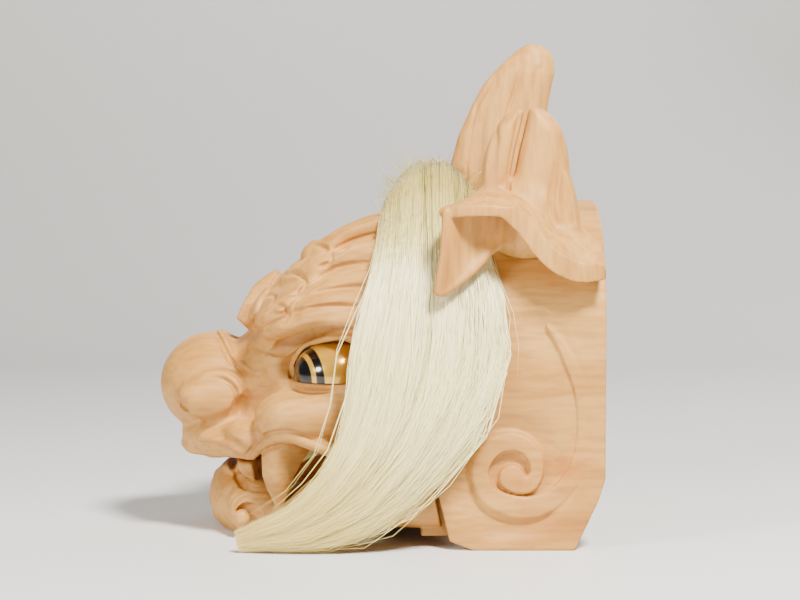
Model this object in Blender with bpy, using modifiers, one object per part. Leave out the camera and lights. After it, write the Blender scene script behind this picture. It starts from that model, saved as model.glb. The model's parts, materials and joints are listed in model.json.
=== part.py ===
"""A carved wooden lion dance head: an upper head, a hinged lower jaw, ears, a horn, eyes and a horsehair mane.

Metres, +Z up. The head looks along -Y and stands on its two rear feet and its chin at z = 0.
The head's left side is at +X. Tables hold shares of the named sizes: along is a share of HEAD_LENGTH
(from -0.5 at the nose to 0.5 at the rear rim), aside of HALF_WIDTH, up of CROWN_HEIGHT.
"""

import math

import bmesh
import bpy
from mathutils import Matrix, Vector

# The block of wood
HEAD_LENGTH = 0.290
HEAD_WIDTH = 0.224
CROWN_HEIGHT = 0.220
WALL = 0.015
HALF_WIDTH = HEAD_WIDTH / 2
ARCH_POWER = 2.3

# Fits
SEAT_GAP = 0.0003
CARVED_GAP = 0.0006
HAIR_GAP = 0.0012
FLOOR_GAP = 0.0005

# How far a cut passes the wood that it takes away, and how far a peg or tenon runs up into its own piece
CUT_REACH = 0.030
ROOT_REACH = 0.012

# The jaw and the dowel that it turns on
ARM_THICKNESS = 0.012
ARM_GAP = 0.0012
AXLE_RADIUS = 0.006
AXLE_SOCKET_DEPTH = 0.008

# Eyes
EYE_LENGTH = 0.058
EYE_WIDTH = 0.054
EYE_HEIGHT = 0.046
EYE_TURN = math.radians(18)
EYE_BACK = 0.008
EYE_AT = {"along": -0.083, "aside": 0.600, "up": 0.490}
EYE_SEAT_UP = 0.450

# Horn
HORN_HEIGHT = 0.106
HORN_LENGTH = 0.070
HORN_THICKNESS = 0.030
HORN_TENON_DEPTH = 0.010

# Ears
EAR_LOBE_HEIGHT = 0.082
EAR_LOBE_LENGTH = 0.054
EAR_LOBE_THICKNESS = 0.024
EAR_SHEET = 0.0065
SKIRT_RISE = 0.004
EAR_PEG_RADIUS = 0.005
EAR_PEG_DEPTH = 0.012

# Mane
LOCKS = 7
LOCK_RADIUS = 0.0085
LOCK_WAVE = 0.0016
CORE_MARGIN = 0.003

# How finely the carved forms are fused, and how many triangles are kept of them
HEAD_VOXEL = 0.0042
JAW_VOXEL = 0.0036
EAR_VOXEL = 0.0024
MANE_VOXEL = 0.0036
HEAD_FACES = 4200
JAW_FACES = 1500
EAR_FACES = 740
MANE_FACES = 780

# Skull sections from the rear rim to the brow: the half width, where the arched top begins, and its crown.
SKULL_SECTIONS = [
    {"along": 0.530, "aside": 0.985, "shoulder": 0.636, "crown": 0.991},
    {"along": 0.345, "aside": 1.000, "shoulder": 0.636, "crown": 1.000},
    {"along": 0.207, "aside": 1.000, "shoulder": 0.636, "crown": 0.995},
    {"along": 0.069, "aside": 0.973, "shoulder": 0.600, "crown": 0.968},
    {"along": -0.034, "aside": 0.902, "shoulder": 0.568, "crown": 0.923},
    {"along": -0.121, "aside": 0.804, "shoulder": 0.536, "crown": 0.850},
    {"along": -0.190, "aside": 0.670, "shoulder": 0.500, "crown": 0.775},
    {"along": -0.255, "aside": 0.500, "shoulder": 0.470, "crown": 0.665},
    {"along": -0.331, "aside": 0.340, "shoulder": 0.420, "crown": 0.545},
]
SECTION_POINTS = 10

# Rounded masses of the upper head: centre, then half sizes, then the pitch that lifts the front end.
HEAD_MASSES = [
    # name, along, aside, up, half_along, half_aside, half_up, pitch_deg
    ("nose_bulb", -0.381, 0.000, 0.436, 0.1215, 0.420, 0.154, 0),
    ("nostril_wing", -0.372, 0.345, 0.405, 0.070, 0.185, 0.078, -18),
    ("bridge", -0.300, 0.000, 0.470, 0.110, 0.330, 0.085, 8),
    ("muzzle", -0.330, 0.000, 0.292, 0.112, 0.520, 0.092, -6),
    ("lip_side", -0.262, 0.470, 0.285, 0.085, 0.200, 0.070, 10),
    ("cheek", -0.125, 0.640, 0.364, 0.135, 0.275, 0.092, -6),
    ("brow", -0.105, 0.520, 0.690, 0.185, 0.360, 0.098, -17),
    ("brow_front", -0.215, 0.270, 0.690, 0.085, 0.220, 0.085, -30),
    ("crest", -0.246, 0.000, 0.716, 0.099, 0.170, 0.064, -45),
]
# A fang hangs outside the lower jaw on each side. Rings go from its root down to its tip.
FANG = [
    # along, aside, up, then half sizes along and aside
    (-0.198, 0.705, 0.300, 0.052, 0.070),
    (-0.202, 0.705, 0.262, 0.048, 0.068),
    (-0.212, 0.700, 0.205, 0.036, 0.060),
    (-0.216, 0.695, 0.140, 0.023, 0.044),
    (-0.217, 0.690, 0.100, 0.012, 0.026),
    (-0.217, 0.688, 0.080, 0.005, 0.011),
]

# Hollows carved into the masses before they are softened.
HEAD_HOLLOWS = [
    # name, along, aside, up, half_along, half_aside, half_up, pitch_deg
    ("eye_recess", -0.190, 0.850, 0.530, 0.145, 0.430, 0.075, -8),
    ("nostril", -0.446, 0.300, 0.366, 0.026, 0.075, 0.026, 40),
    ("mouth_corner", -0.120, 0.860, 0.215, 0.055, 0.300, 0.060, 10),
]

# Rolls: raised bands as round strips along a route.
LIP_ROLL = [
    # along, aside, up
    (-0.442, 0.000, 0.262),
    (-0.428, 0.220, 0.248),
    (-0.372, 0.410, 0.257),
    (-0.335, 0.500, 0.245),
    (-0.297, 0.565, 0.224),
    (-0.268, 0.620, 0.248),
    (-0.240, 0.665, 0.286),
    (-0.207, 0.715, 0.309),
    (-0.155, 0.800, 0.314),
    (-0.110, 0.850, 0.292),
    (-0.083, 0.880, 0.264),
]
LIP_ROLL_RADIUS = 0.0042
NOSE_COLLAR = [
    (-0.372, 0.000, 0.582),
    (-0.366, 0.150, 0.560),
    (-0.352, 0.290, 0.512),
    (-0.322, 0.385, 0.478),
    (-0.296, 0.430, 0.455),
]
NOSE_COLLAR_RADIUS = 0.0036

# Four fluted strands sweep back from the brow, from the crown down to the eye.
BROW_STRANDS = [
    # route as along, aside, up, then the thickness as a share of the first radius
    [(-0.150, 0.250, 0.775, 0.70), (-0.125, 0.330, 0.815, 1.00), (-0.070, 0.400, 0.860, 1.00), (0.030, 0.420, 0.925, 0.60)],
    [(-0.205, 0.220, 0.700, 0.70), (-0.185, 0.340, 0.745, 1.00), (-0.105, 0.540, 0.795, 1.00), (0.030, 0.640, 0.850, 0.60)],
    [(-0.285, 0.150, 0.630, 0.60), (-0.235, 0.320, 0.640, 1.00), (-0.140, 0.600, 0.705, 1.10), (0.020, 0.790, 0.765, 0.60)],
    [(-0.262, 0.330, 0.560, 0.60), (-0.205, 0.500, 0.615, 1.00), (-0.110, 0.710, 0.650, 1.05), (0.010, 0.860, 0.655, 0.55)],
]
BROW_STRAND_RADIUS = 0.0115

# A spiral roll on each side wall: the tail runs down the rear rim and winds in to a flat disc.
SPIRAL = [
    # along, up
    (0.384, 0.620),
    (0.438, 0.470),
    (0.458, 0.367),
    (0.447, 0.290),
    (0.414, 0.189),
    (0.369, 0.126),
    (0.299, 0.092),
    (0.245, 0.112),
    (0.201, 0.163),
    (0.190, 0.224),
    (0.214, 0.290),
    (0.260, 0.327),
    (0.314, 0.327),
    (0.358, 0.275),
    (0.364, 0.235),
    (0.345, 0.189),
    (0.314, 0.163),
    (0.275, 0.184),
    (0.269, 0.218),
    (0.284, 0.250),
    (0.306, 0.252),
]
SPIRAL_RADIUS = 0.0046
SPIRAL_RELIEF = 0.0022

# The line that parts the upper head from the jaw, from the foot round the slit to the front lip.
MOUTH_LINE = [
    # along, up
    (0.214, -0.060),
    (0.214, 0.000),
    (0.162, 0.025),
    (0.114, 0.282),
    (0.052, 0.273),
    (-0.041, 0.245),
    (-0.097, 0.273),
    (-0.145, 0.307),
    (-0.207, 0.311),
    (-0.241, 0.282),
    (-0.290, 0.222),
    (-0.345, 0.214),
    (-0.600, 0.214),
    (-0.600, -0.060),
]
# The side view of the space that the jaw fills, a little inside the line above.
JAW_LINE = [
    # along, up
    (0.148, -0.100),
    (0.148, 0.030),
    (0.122, 0.200),
    (0.103, 0.273),
    (0.052, 0.266),
    (-0.041, 0.238),
    (-0.097, 0.266),
    (-0.145, 0.300),
    (-0.207, 0.304),
    (-0.241, 0.275),
    (-0.290, 0.215),
    (-0.345, 0.206),
    (-0.600, 0.206),
    (-0.600, -0.100),
]
REAR_CUT = [
    # along, up
    (0.434, -0.100),
    (0.434, 0.000),
    (0.486, 0.145),
    (0.500, 0.205),
    (0.500, 1.400),
    (0.700, 1.400),
    (0.700, -0.100),
]

# The hollow of the upper head, from the rear rim to the back of the face. WALL is taken off each section.
HOLLOW_SECTIONS = [
    {"along": 0.560, "aside": 0.985, "shoulder": 0.600, "crown": 0.991},
    {"along": 0.345, "aside": 1.000, "shoulder": 0.600, "crown": 1.000},
    {"along": 0.140, "aside": 1.000, "shoulder": 0.560, "crown": 0.960},
    {"along": 0.075, "aside": 0.930, "shoulder": 0.520, "crown": 0.900},
    {"along": -0.010, "aside": 0.600, "shoulder": 0.480, "crown": 0.800},
    {"along": -0.100, "aside": 0.460, "shoulder": 0.420, "crown": 0.640},
]
PALATE_SECTIONS = [
    # along, half width, roof
    (0.160, 0.866, 0.420),
    (0.000, 0.790, 0.400),
    (-0.105, 0.640, 0.360),
    (-0.200, 0.500, 0.325),
    (-0.300, 0.360, 0.295),
    (-0.375, 0.240, 0.265),
]

# Lower jaw: outer sections from the slit to the chin, its masses, and the tray carved into it.
JAW_SECTIONS = [
    # along, half width, floor, rim
    (0.170, 0.985, 0.034, 0.300),
    (0.052, 0.955, 0.036, 0.280),
    (-0.041, 0.880, 0.034, 0.252),
    (-0.110, 0.800, 0.030, 0.190),
    (-0.165, 0.715, 0.022, 0.170),
    (-0.228, 0.600, 0.010, 0.120),
    (-0.276, 0.500, -0.010, 0.150),
    (-0.330, 0.360, -0.020, 0.175),
    (-0.372, 0.180, 0.030, 0.150),
]
JAW_MASSES = [
    ("chin", -0.312, 0.000, 0.092, 0.079, 0.420, 0.112, 0),
    ("lower_lip", -0.330, 0.200, 0.165, 0.045, 0.230, 0.045, -12),
    ("chin_curl", -0.310, 0.400, 0.052, 0.040, 0.110, 0.052, 0),
    ("canine", -0.293, 0.420, 0.160, 0.026, 0.060, 0.058, 8),
]
TRAY_SECTIONS = [
    # along, half width, floor
    (0.260, 0.720, 0.085),
    (0.060, 0.720, 0.085),
    (-0.060, 0.640, 0.088),
    (-0.160, 0.500, 0.092),
    (-0.240, 0.330, 0.100),
    (-0.285, 0.170, 0.120),
]
AXLE = {"along": 0.190, "up": 0.075}
ARM = {"front": 0.100, "back": 0.228, "low": 0.030, "high": 0.140}

# Horn: stations from its foot to its tip, each between a front and a back point, as shares of HORN_LENGTH
# behind its front foot and of HORN_HEIGHT above its foot, then its thickness as a share of HORN_THICKNESS.
HORN_AT = {"along": 0.170, "up": 0.990}
HORN_STATIONS = [
    ((0.03, -0.060), (0.88, -0.060), 1.00),
    ((0.00, 0.220), (0.90, 0.260), 1.00),
    ((0.08, 0.420), (0.91, 0.480), 0.96),
    ((0.22, 0.620), (0.94, 0.660), 0.88),
    ((0.40, 0.800), (1.00, 0.820), 0.76),
    ((0.60, 0.930), (0.97, 0.920), 0.55),
    ((0.74, 0.990), (0.84, 0.985), 0.22),
]
HORN_TENON = {"along": 0.280, "half_along": 0.012, "half_aside": 0.007}

# Ear: the lobes stand on the shoulder; the skirt flares from them to its rim; the flap hangs at the front.
EAR_LOBES = [
    # name, along, aside, up, half shares of lobe length, thickness and height, pitch_deg
    ("rear_lobe", 0.345, 0.830, 1.075, 0.38, 0.50, 0.50, -6),
    ("front_lobe", 0.268, 0.825, 1.055, 0.27, 0.46, 0.50, 12),
    ("back_curl", 0.420, 0.850, 0.990, 0.17, 0.40, 0.26, -16),
    ("root", 0.330, 0.840, 0.945, 0.54, 0.78, 0.32, 0),
]
EAR_SKIRT = [
    # inner point, then rim point: along, aside, up
    ((0.190, 0.900, 0.985), (0.155, 1.135, 0.955)),
    ((0.225, 0.860, 1.020), (0.200, 1.175, 0.972)),
    ((0.270, 0.830, 1.030), (0.262, 1.195, 0.968)),
    ((0.320, 0.830, 1.020), (0.312, 1.185, 0.957)),
    ((0.370, 0.850, 1.000), (0.350, 1.165, 0.905)),
    ((0.415, 0.880, 0.970), (0.386, 1.140, 0.850)),
    ((0.450, 0.920, 0.925), (0.424, 1.115, 0.800)),
    ((0.480, 0.960, 0.880), (0.464, 1.085, 0.775)),
]
EAR_FLAP = [
    # rows from the skirt down to the tip: front point, middle point, rear point
    ((0.155, 1.130, 0.965), (0.235, 1.080, 0.965), (0.310, 0.990, 0.935)),
    ((0.152, 1.140, 0.900), (0.220, 1.090, 0.905), (0.290, 1.060, 0.895)),
    ((0.147, 1.150, 0.840), (0.203, 1.110, 0.842), (0.256, 1.100, 0.842)),
    ((0.143, 1.150, 0.785), (0.180, 1.130, 0.785), (0.214, 1.130, 0.785)),
    ((0.140, 1.140, 0.742), (0.150, 1.135, 0.742), (0.158, 1.135, 0.744)),
]

# Mane: the middle of the hank from its root on the crown, over the shoulder and down to the floor.
MANE_SECTIONS = [
    # along, aside, up, half the spread across the hank, growth of a lock's thickness
    (0.120, 0.120, 0.960, 0.060, 1.10),
    (0.112, 0.180, 1.070, 0.078, 1.15),
    (0.108, 0.420, 1.005, 0.090, 1.15),
    (0.112, 0.740, 0.895, 0.088, 1.05),
    (0.124, 0.940, 0.785, 0.092, 0.85),
    (0.134, 1.030, 0.690, 0.110, 0.65),
    (0.118, 1.070, 0.570, 0.128, 0.85),
    (0.092, 1.085, 0.435, 0.128, 1.00),
    (0.045, 1.095, 0.300, 0.112, 1.05),
    (-0.030, 1.100, 0.180, 0.095, 1.05),
    (-0.110, 1.100, 0.100, 0.072, 1.00),
    (-0.195, 1.085, 0.055, 0.040, 0.80),
    (-0.290, 1.065, 0.028, 0.012, 0.45),
]

SOCKET_AT = {"along": 0.330, "aside": 0.830}


def place(along, aside, up):
    return Vector((aside * HALF_WIDTH, along * HEAD_LENGTH, up * CROWN_HEIGHT))


def new_object(name, bm):
    bmesh.ops.recalc_face_normals(bm, faces=bm.faces[:])
    mesh = bpy.data.meshes.new(name)
    bm.to_mesh(mesh)
    bm.free()
    mesh.shade_smooth()
    obj = bpy.data.objects.new(name, mesh)
    collection_named("lion_dance_head").objects.link(obj)
    return obj


def collection_named(name):
    found = bpy.data.collections.get(name)
    if found is None:
        found = bpy.data.collections.new(name)
        bpy.context.scene.collection.children.link(found)
    return found


def as_cutter(obj):
    obj.hide_render = True
    obj.display_type = "WIRE"
    collection_named("lion_dance_head").objects.unlink(obj)
    collection_named("cutters").objects.link(obj)
    return obj


def material(name, colour, roughness, metallic=0.0, coat=0.0):
    made = bpy.data.materials.new(name)
    made.use_nodes = True
    shader = made.node_tree.nodes["Principled BSDF"]
    shader.inputs["Base Color"].default_value = (*colour, 1)
    shader.inputs["Roughness"].default_value = roughness
    shader.inputs["Metallic"].default_value = metallic
    shader.inputs["Coat Weight"].default_value = coat
    made.diffuse_color = (*colour, 1)
    return made


def add_loft(bm, rings):
    """Skins equal rings in order and closes both ends."""
    made = [[bm.verts.new(point) for point in ring] for ring in rings]
    count = len(rings[0])
    for near, far in zip(made, made[1:]):
        for i in range(count):
            j = (i + 1) % count
            bm.faces.new((near[i], near[j], far[j], far[i]))
    bm.faces.new(made[0][::-1])
    bm.faces.new(made[-1])


def add_prism(bm, outline, half_width):
    """Extrudes a side view outline, given as along and up, across the head."""
    rings = []
    for side in (-1, 1):
        rings.append([place(along, 0, up) + Vector((side * half_width, 0, 0)) for along, up in outline])
    add_loft(bm, rings)


def add_box(bm, low, high):
    matrix = Matrix.Translation((Vector(low) + Vector(high)) / 2)
    size = Vector(high) - Vector(low)
    bmesh.ops.create_cube(bm, size=1, matrix=matrix @ Matrix.Diagonal((*size, 1)))


def add_mass(bm, row, side):
    """An ellipsoid on one side; a positive pitch lifts its front end."""
    _, along, aside, up, half_along, half_aside, half_up, pitch = row
    half = Vector((half_aside * HALF_WIDTH, half_along * HEAD_LENGTH, half_up * CROWN_HEIGHT))
    turn = Matrix.Rotation(-math.radians(pitch), 4, "X")
    matrix = Matrix.Translation(place(along, side * aside, up)) @ turn @ Matrix.Diagonal((*half, 1))
    bmesh.ops.create_uvsphere(bm, u_segments=20, v_segments=12, radius=1, matrix=matrix)


def smooth_route(points, steps):
    """A Catmull-Rom route through rows of numbers."""
    rows = [points[0], *points, points[-1]]
    found = []
    for i in range(1, len(rows) - 2):
        for step in range(steps):
            t = step / steps
            found.append(
                [
                    0.5 * (2 * b + (c - a) * t + (2 * a - 5 * b + 4 * c - d) * t**2 + (3 * b - a - 3 * c + d) * t**3)
                    for a, b, c, d in zip(*rows[i - 1 : i + 3])
                ]
            )
    return [*found, list(points[-1])]


def add_tube(bm, route, radii, outwards, flatness=1.0, sides=8):
    """A rod along a route; outwards gives the way that its thinner axis faces at each point."""
    rings = []
    last = len(route) - 1
    for i, centre in enumerate(route):
        tangent = (route[min(i + 1, last)] - route[max(i - 1, 0)]).normalized()
        thin = (outwards[i] - outwards[i].dot(tangent) * tangent).normalized()
        wide = tangent.cross(thin)
        radius = radii[i]
        rings.append(
            [
                centre
                + wide * radius * math.cos(2 * math.pi * k / sides)
                + thin * radius * flatness * math.sin(2 * math.pi * k / sides)
                for k in range(sides)
            ]
        )
    add_loft(bm, rings)


def add_sheet(bm, rows, thickness):
    """A plate of this thickness whose middle surface is a grid of points."""
    high, wide = len(rows), len(rows[0])
    front, back = [], []
    for i in range(high):
        front.append([])
        back.append([])
        for j in range(wide):
            down = rows[min(i + 1, high - 1)][j] - rows[max(i - 1, 0)][j]
            across = rows[i][min(j + 1, wide - 1)] - rows[i][max(j - 1, 0)]
            normal = down.cross(across).normalized() * thickness / 2
            front[-1].append(bm.verts.new(rows[i][j] + normal))
            back[-1].append(bm.verts.new(rows[i][j] - normal))
    for i in range(high - 1):
        for j in range(wide - 1):
            for grid in (front, back):
                bm.faces.new((grid[i][j], grid[i][j + 1], grid[i + 1][j + 1], grid[i + 1][j]))
    rim = [(0, j) for j in range(wide)] + [(i, wide - 1) for i in range(1, high)]
    rim += [(high - 1, j) for j in range(wide - 2, -1, -1)] + [(i, 0) for i in range(high - 2, 0, -1)]
    for (i, j), (k, m) in zip(rim, rim[1:] + rim[:1]):
        bm.faces.new((front[i][j], back[i][j], back[k][m], front[k][m]))


def arch_ring(section, growth, floor):
    """Walls that stand up to the shoulder and a rounded vault over them, in one section across the head."""
    half_width = section["aside"] * HALF_WIDTH + growth
    shoulder = section["shoulder"] * CROWN_HEIGHT
    rise = section["crown"] * CROWN_HEIGHT + growth - shoulder
    ring = [(half_width, floor)]
    for i in range(SECTION_POINTS + 1):
        turn = math.pi * i / SECTION_POINTS
        across = math.copysign(abs(math.cos(turn)) ** (2 / ARCH_POWER), math.cos(turn))
        ring.append((half_width * across, shoulder + rise * math.sin(turn) ** (2 / ARCH_POWER)))
    ring.append((-half_width, floor))
    return [Vector((x, section["along"] * HEAD_LENGTH, z)) for x, z in ring]


def add_arch_loft(bm, sections, growth, floor):
    add_loft(bm, [arch_ring(section, growth, floor) for section in sections])


def add_box_loft(bm, sections):
    """Rounded rectangles in section, given as along, half width, low and high."""
    rings = []
    for along, half_width, low, high in sections:
        ring = []
        for i in range(20):
            turn = 2 * math.pi * (i + 0.5) / 20
            x = math.copysign(abs(math.cos(turn)) ** 0.45, math.cos(turn)) * half_width * HALF_WIDTH
            z = math.copysign(abs(math.sin(turn)) ** 0.45, math.sin(turn)) * (high - low) / 2 + (high + low) / 2
            ring.append(Vector((x, along * HEAD_LENGTH, z * CROWN_HEIGHT)))
        rings.append(ring)
    add_loft(bm, rings)


def fuse(obj, voxel, smoothing):
    remesh = obj.modifiers.new("fused", "REMESH")
    remesh.mode = "VOXEL"
    remesh.voxel_size = voxel
    remesh.use_smooth_shade = True
    soft = obj.modifiers.new("softened", "SMOOTH")
    soft.factor = 0.5
    soft.iterations = smoothing


def thin_out(obj, faces):
    """Keeps about this many triangles of what the modifiers so far have made."""
    bpy.context.view_layer.update()
    evaluated = obj.evaluated_get(bpy.context.evaluated_depsgraph_get())
    mesh = evaluated.to_mesh()
    mesh.calc_loop_triangles()
    count = len(mesh.loop_triangles)
    evaluated.to_mesh_clear()
    decimate = obj.modifiers.new("fewer faces", "DECIMATE")
    decimate.ratio = min(1.0, faces / count)


def boolean(obj, other, operation):
    modifier = obj.modifiers.new(f"{operation.lower()} {other.name}", "BOOLEAN")
    modifier.operation = operation
    modifier.solver = "EXACT"
    modifier.object = other


def skull_seat(name):
    """The plain vault of the skull, grown by the gap that the pieces on it keep."""
    bm = bmesh.new()
    add_arch_loft(bm, SKULL_SECTIONS, CARVED_GAP, -CUT_REACH)
    return as_cutter(new_object(name, bm))


def eye_matrix(side, growth):
    centre = place(EYE_AT["along"], side * EYE_AT["aside"], EYE_AT["up"])
    half = Vector((EYE_WIDTH / 2 + growth, EYE_LENGTH / 2 + growth, EYE_HEIGHT / 2 + growth, 1))
    return Matrix.Translation(centre) @ Matrix.Rotation(side * EYE_TURN, 4, "Z") @ Matrix.Diagonal(half)


def eye_body(name, side, growth):
    """An egg cut flat at its back and along the cheek under it."""
    bm = bmesh.new()
    bmesh.ops.create_uvsphere(bm, u_segments=24, v_segments=14, radius=1, matrix=eye_matrix(side, growth))
    centre = place(EYE_AT["along"], side * EYE_AT["aside"], EYE_AT["up"])
    back = Vector((side * math.cos(EYE_TURN + 0.5), -math.sin(EYE_TURN + 0.5), 0))
    planes = [(centre - back * (EYE_BACK + growth), -back)]
    planes.append((Vector((0, 0, EYE_SEAT_UP * CROWN_HEIGHT - growth)), Vector((0, 0, -1))))
    for point, normal in planes:
        geometry = bm.verts[:] + bm.edges[:] + bm.faces[:]
        cut = bmesh.ops.bisect_plane(bm, geom=geometry, plane_co=point, plane_no=normal, clear_outer=True)
        edges = [item for item in cut["geom_cut"] if isinstance(item, bmesh.types.BMEdge)]
        bmesh.ops.contextual_create(bm, geom=edges)
    return new_object(name, bm)


def add_upright_rod(bm, centre, low, high, radius):
    matrix = Matrix.Translation((centre.x, centre.y, (low + high) / 2))
    bmesh.ops.create_cone(
        bm, cap_ends=True, segments=16, radius1=radius, radius2=radius, depth=high - low, matrix=matrix
    )


def crown_height(along, aside):
    """The vault's height over a point between two skull sections."""
    rows = sorted(SKULL_SECTIONS, key=lambda row: row["along"])
    for near, far in zip(rows, rows[1:]):
        if near["along"] <= along <= far["along"]:
            share = (along - near["along"]) / (far["along"] - near["along"])
            half, shoulder, crown = (near[key] + (far[key] - near[key]) * share for key in ("aside", "shoulder", "crown"))
            across = min(1.0, abs(aside) / half)
            return (shoulder + (crown - shoulder) * (1 - across**ARCH_POWER) ** (1 / ARCH_POWER)) * CROWN_HEIGHT
    return 0.0


def add_roll(bm, points, radius, side):
    rows = smooth_route(points, 4)
    route = [place(along, side * aside, up) for along, aside, up in (row[:3] for row in rows)]
    radii = [radius * (row[3] if len(row) > 3 else 1.0) for row in rows]
    add_tube(bm, route, radii, [Vector((side * 0.6, -0.5, 0.6))] * len(route))


def add_spiral(bm, side):
    aside = 1.0 + (SPIRAL_RELIEF - SPIRAL_RADIUS) / HALF_WIDTH
    rows = smooth_route([(along, aside, up) for along, up in SPIRAL], 3)
    route = [place(along, side * a, up) for along, a, up in rows]
    radii = [SPIRAL_RADIUS * min(1.0, 0.4 + 0.15 * i) for i in range(len(route))]
    add_tube(bm, route, radii, [Vector((side, 0, 0))] * len(route))


def add_fang(bm, side):
    rings = []
    for along, aside, up, half_along, half_aside in FANG:
        centre = place(along, side * aside, up)
        turns = [2 * math.pi * k / 12 for k in range(12)]
        rings.append(
            [
                centre
                + Vector((half_aside * HALF_WIDTH * math.cos(turn), half_along * HEAD_LENGTH * math.sin(turn), 0))
                for turn in turns
            ]
        )
    add_loft(bm, rings)


def make_head():
    bm = bmesh.new()
    add_arch_loft(bm, SKULL_SECTIONS, 0, -CUT_REACH)
    for row in HEAD_MASSES:
        for side in (1, -1) if row[2] else (1,):
            add_mass(bm, row, side)
    for side in (1, -1):
        add_roll(bm, LIP_ROLL, LIP_ROLL_RADIUS, side)
        add_roll(bm, NOSE_COLLAR, NOSE_COLLAR_RADIUS, side)
        add_spiral(bm, side)
        for strand in BROW_STRANDS:
            add_roll(bm, strand, BROW_STRAND_RADIUS, side)
    head = new_object("head_shell", bm)
    remesh = head.modifiers.new("fused", "REMESH")
    remesh.mode = "VOXEL"
    remesh.voxel_size = HEAD_VOXEL
    remesh.use_smooth_shade = True
    for row in HEAD_HOLLOWS:
        for side in (1, -1):
            bm = bmesh.new()
            add_mass(bm, row, side)
            boolean(head, as_cutter(new_object(f"cut_{row[0]}_{'l' if side > 0 else 'r'}", bm)), "DIFFERENCE")
    fuse(head, HEAD_VOXEL, 2)
    thin_out(head, HEAD_FACES)

    bm = bmesh.new()
    add_prism(bm, MOUTH_LINE, HEAD_WIDTH)
    boolean(head, as_cutter(new_object("cut_mouth_line", bm)), "DIFFERENCE")
    for side, tag in ((1, "left"), (-1, "right")):
        bm = bmesh.new()
        add_fang(bm, side)
        boolean(head, as_cutter(new_object(f"add_fang_{tag}", bm)), "UNION")
    return head


def cut_head(head):
    bm = bmesh.new()
    add_box(bm, (-HEAD_WIDTH, -HEAD_LENGTH, -2 * CUT_REACH), (HEAD_WIDTH, HEAD_LENGTH, 0.0))
    boolean(head, as_cutter(new_object("cut_floor", bm)), "DIFFERENCE")
    bm = bmesh.new()
    add_prism(bm, REAR_CUT, HEAD_WIDTH)
    boolean(head, as_cutter(new_object("cut_rear", bm)), "DIFFERENCE")
    bm = bmesh.new()
    add_arch_loft(bm, HOLLOW_SECTIONS, -WALL, -CUT_REACH)
    boolean(head, as_cutter(new_object("cut_hollow", bm)), "DIFFERENCE")
    bm = bmesh.new()
    add_box_loft(bm, [(along, aside, -0.15, up) for along, aside, up in PALATE_SECTIONS])
    boolean(head, as_cutter(new_object("cut_palate", bm)), "DIFFERENCE")
    for side, tag in ((1, "left"), (-1, "right")):
        boolean(head, as_cutter(eye_body(f"cut_eye_{tag}", side, SEAT_GAP)), "DIFFERENCE")
        bm = bmesh.new()
        centre = place(SOCKET_AT["along"], side * SOCKET_AT["aside"], 0)
        top = crown_height(SOCKET_AT["along"], SOCKET_AT["aside"])
        add_upright_rod(bm, centre, top - EAR_PEG_DEPTH - SEAT_GAP, top + CUT_REACH, EAR_PEG_RADIUS + SEAT_GAP)
        boolean(head, as_cutter(new_object(f"cut_ear_peg_{tag}", bm)), "DIFFERENCE")
    bm = bmesh.new()
    middle = place(HORN_TENON["along"], 0, 0).y
    top = crown_height(HORN_TENON["along"], 0)
    reach = (HORN_TENON["half_aside"] + SEAT_GAP, HORN_TENON["half_along"] + SEAT_GAP)
    add_box(
        bm,
        (-reach[0], middle - reach[1], top - HORN_TENON_DEPTH - SEAT_GAP),
        (reach[0], middle + reach[1], top + CUT_REACH),
    )
    boolean(head, as_cutter(new_object("cut_horn_tenon", bm)), "DIFFERENCE")
    reach = HALF_WIDTH - WALL + AXLE_SOCKET_DEPTH
    boolean(head, as_cutter(rod_across("cut_axle_sockets", reach, AXLE_RADIUS + SEAT_GAP)), "DIFFERENCE")


def rod_across(name, reach, radius):
    bm = bmesh.new()
    matrix = Matrix.Translation(place(AXLE["along"], 0, AXLE["up"])) @ Matrix.Rotation(math.pi / 2, 4, "Y")
    bmesh.ops.create_cone(
        bm, cap_ends=True, segments=24, radius1=radius, radius2=radius, depth=2 * reach, matrix=matrix
    )
    return new_object(name, bm)


def make_jaw():
    bm = bmesh.new()
    add_box_loft(bm, JAW_SECTIONS)
    for row in JAW_MASSES:
        for side in (1, -1) if row[2] else (1,):
            add_mass(bm, row, side)
    jaw = new_object("lower_jaw", bm)
    fuse(jaw, JAW_VOXEL, 2)
    thin_out(jaw, JAW_FACES)
    bm = bmesh.new()
    add_prism(bm, JAW_LINE, HEAD_WIDTH)
    boolean(jaw, as_cutter(new_object("keep_jaw_line", bm)), "INTERSECT")
    bm = bmesh.new()
    add_box_loft(bm, [(along, aside, floor, 0.6) for along, aside, floor in TRAY_SECTIONS])
    boolean(jaw, as_cutter(new_object("cut_tray", bm)), "DIFFERENCE")
    outer = HALF_WIDTH - WALL - ARM_GAP
    for side, tag in ((1, "left"), (-1, "right")):
        bm = bmesh.new()
        low = place(ARM["front"], 0, ARM["low"])
        high = place(ARM["back"], 0, ARM["high"])
        ends = sorted((side * outer, side * (outer - ARM_THICKNESS)))
        add_box(bm, (ends[0], low.y, low.z), (ends[1], high.y, high.z))
        boolean(jaw, as_cutter(new_object(f"add_arm_{tag}", bm)), "UNION")
    bm = bmesh.new()
    add_box(bm, (-HEAD_WIDTH, -HEAD_LENGTH, -2 * CUT_REACH), (HEAD_WIDTH, HEAD_LENGTH, 0.0))
    boolean(jaw, as_cutter(new_object("cut_jaw_floor", bm)), "DIFFERENCE")
    boolean(jaw, as_cutter(rod_across("cut_arm_holes", HALF_WIDTH, AXLE_RADIUS + SEAT_GAP)), "DIFFERENCE")
    return jaw


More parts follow.
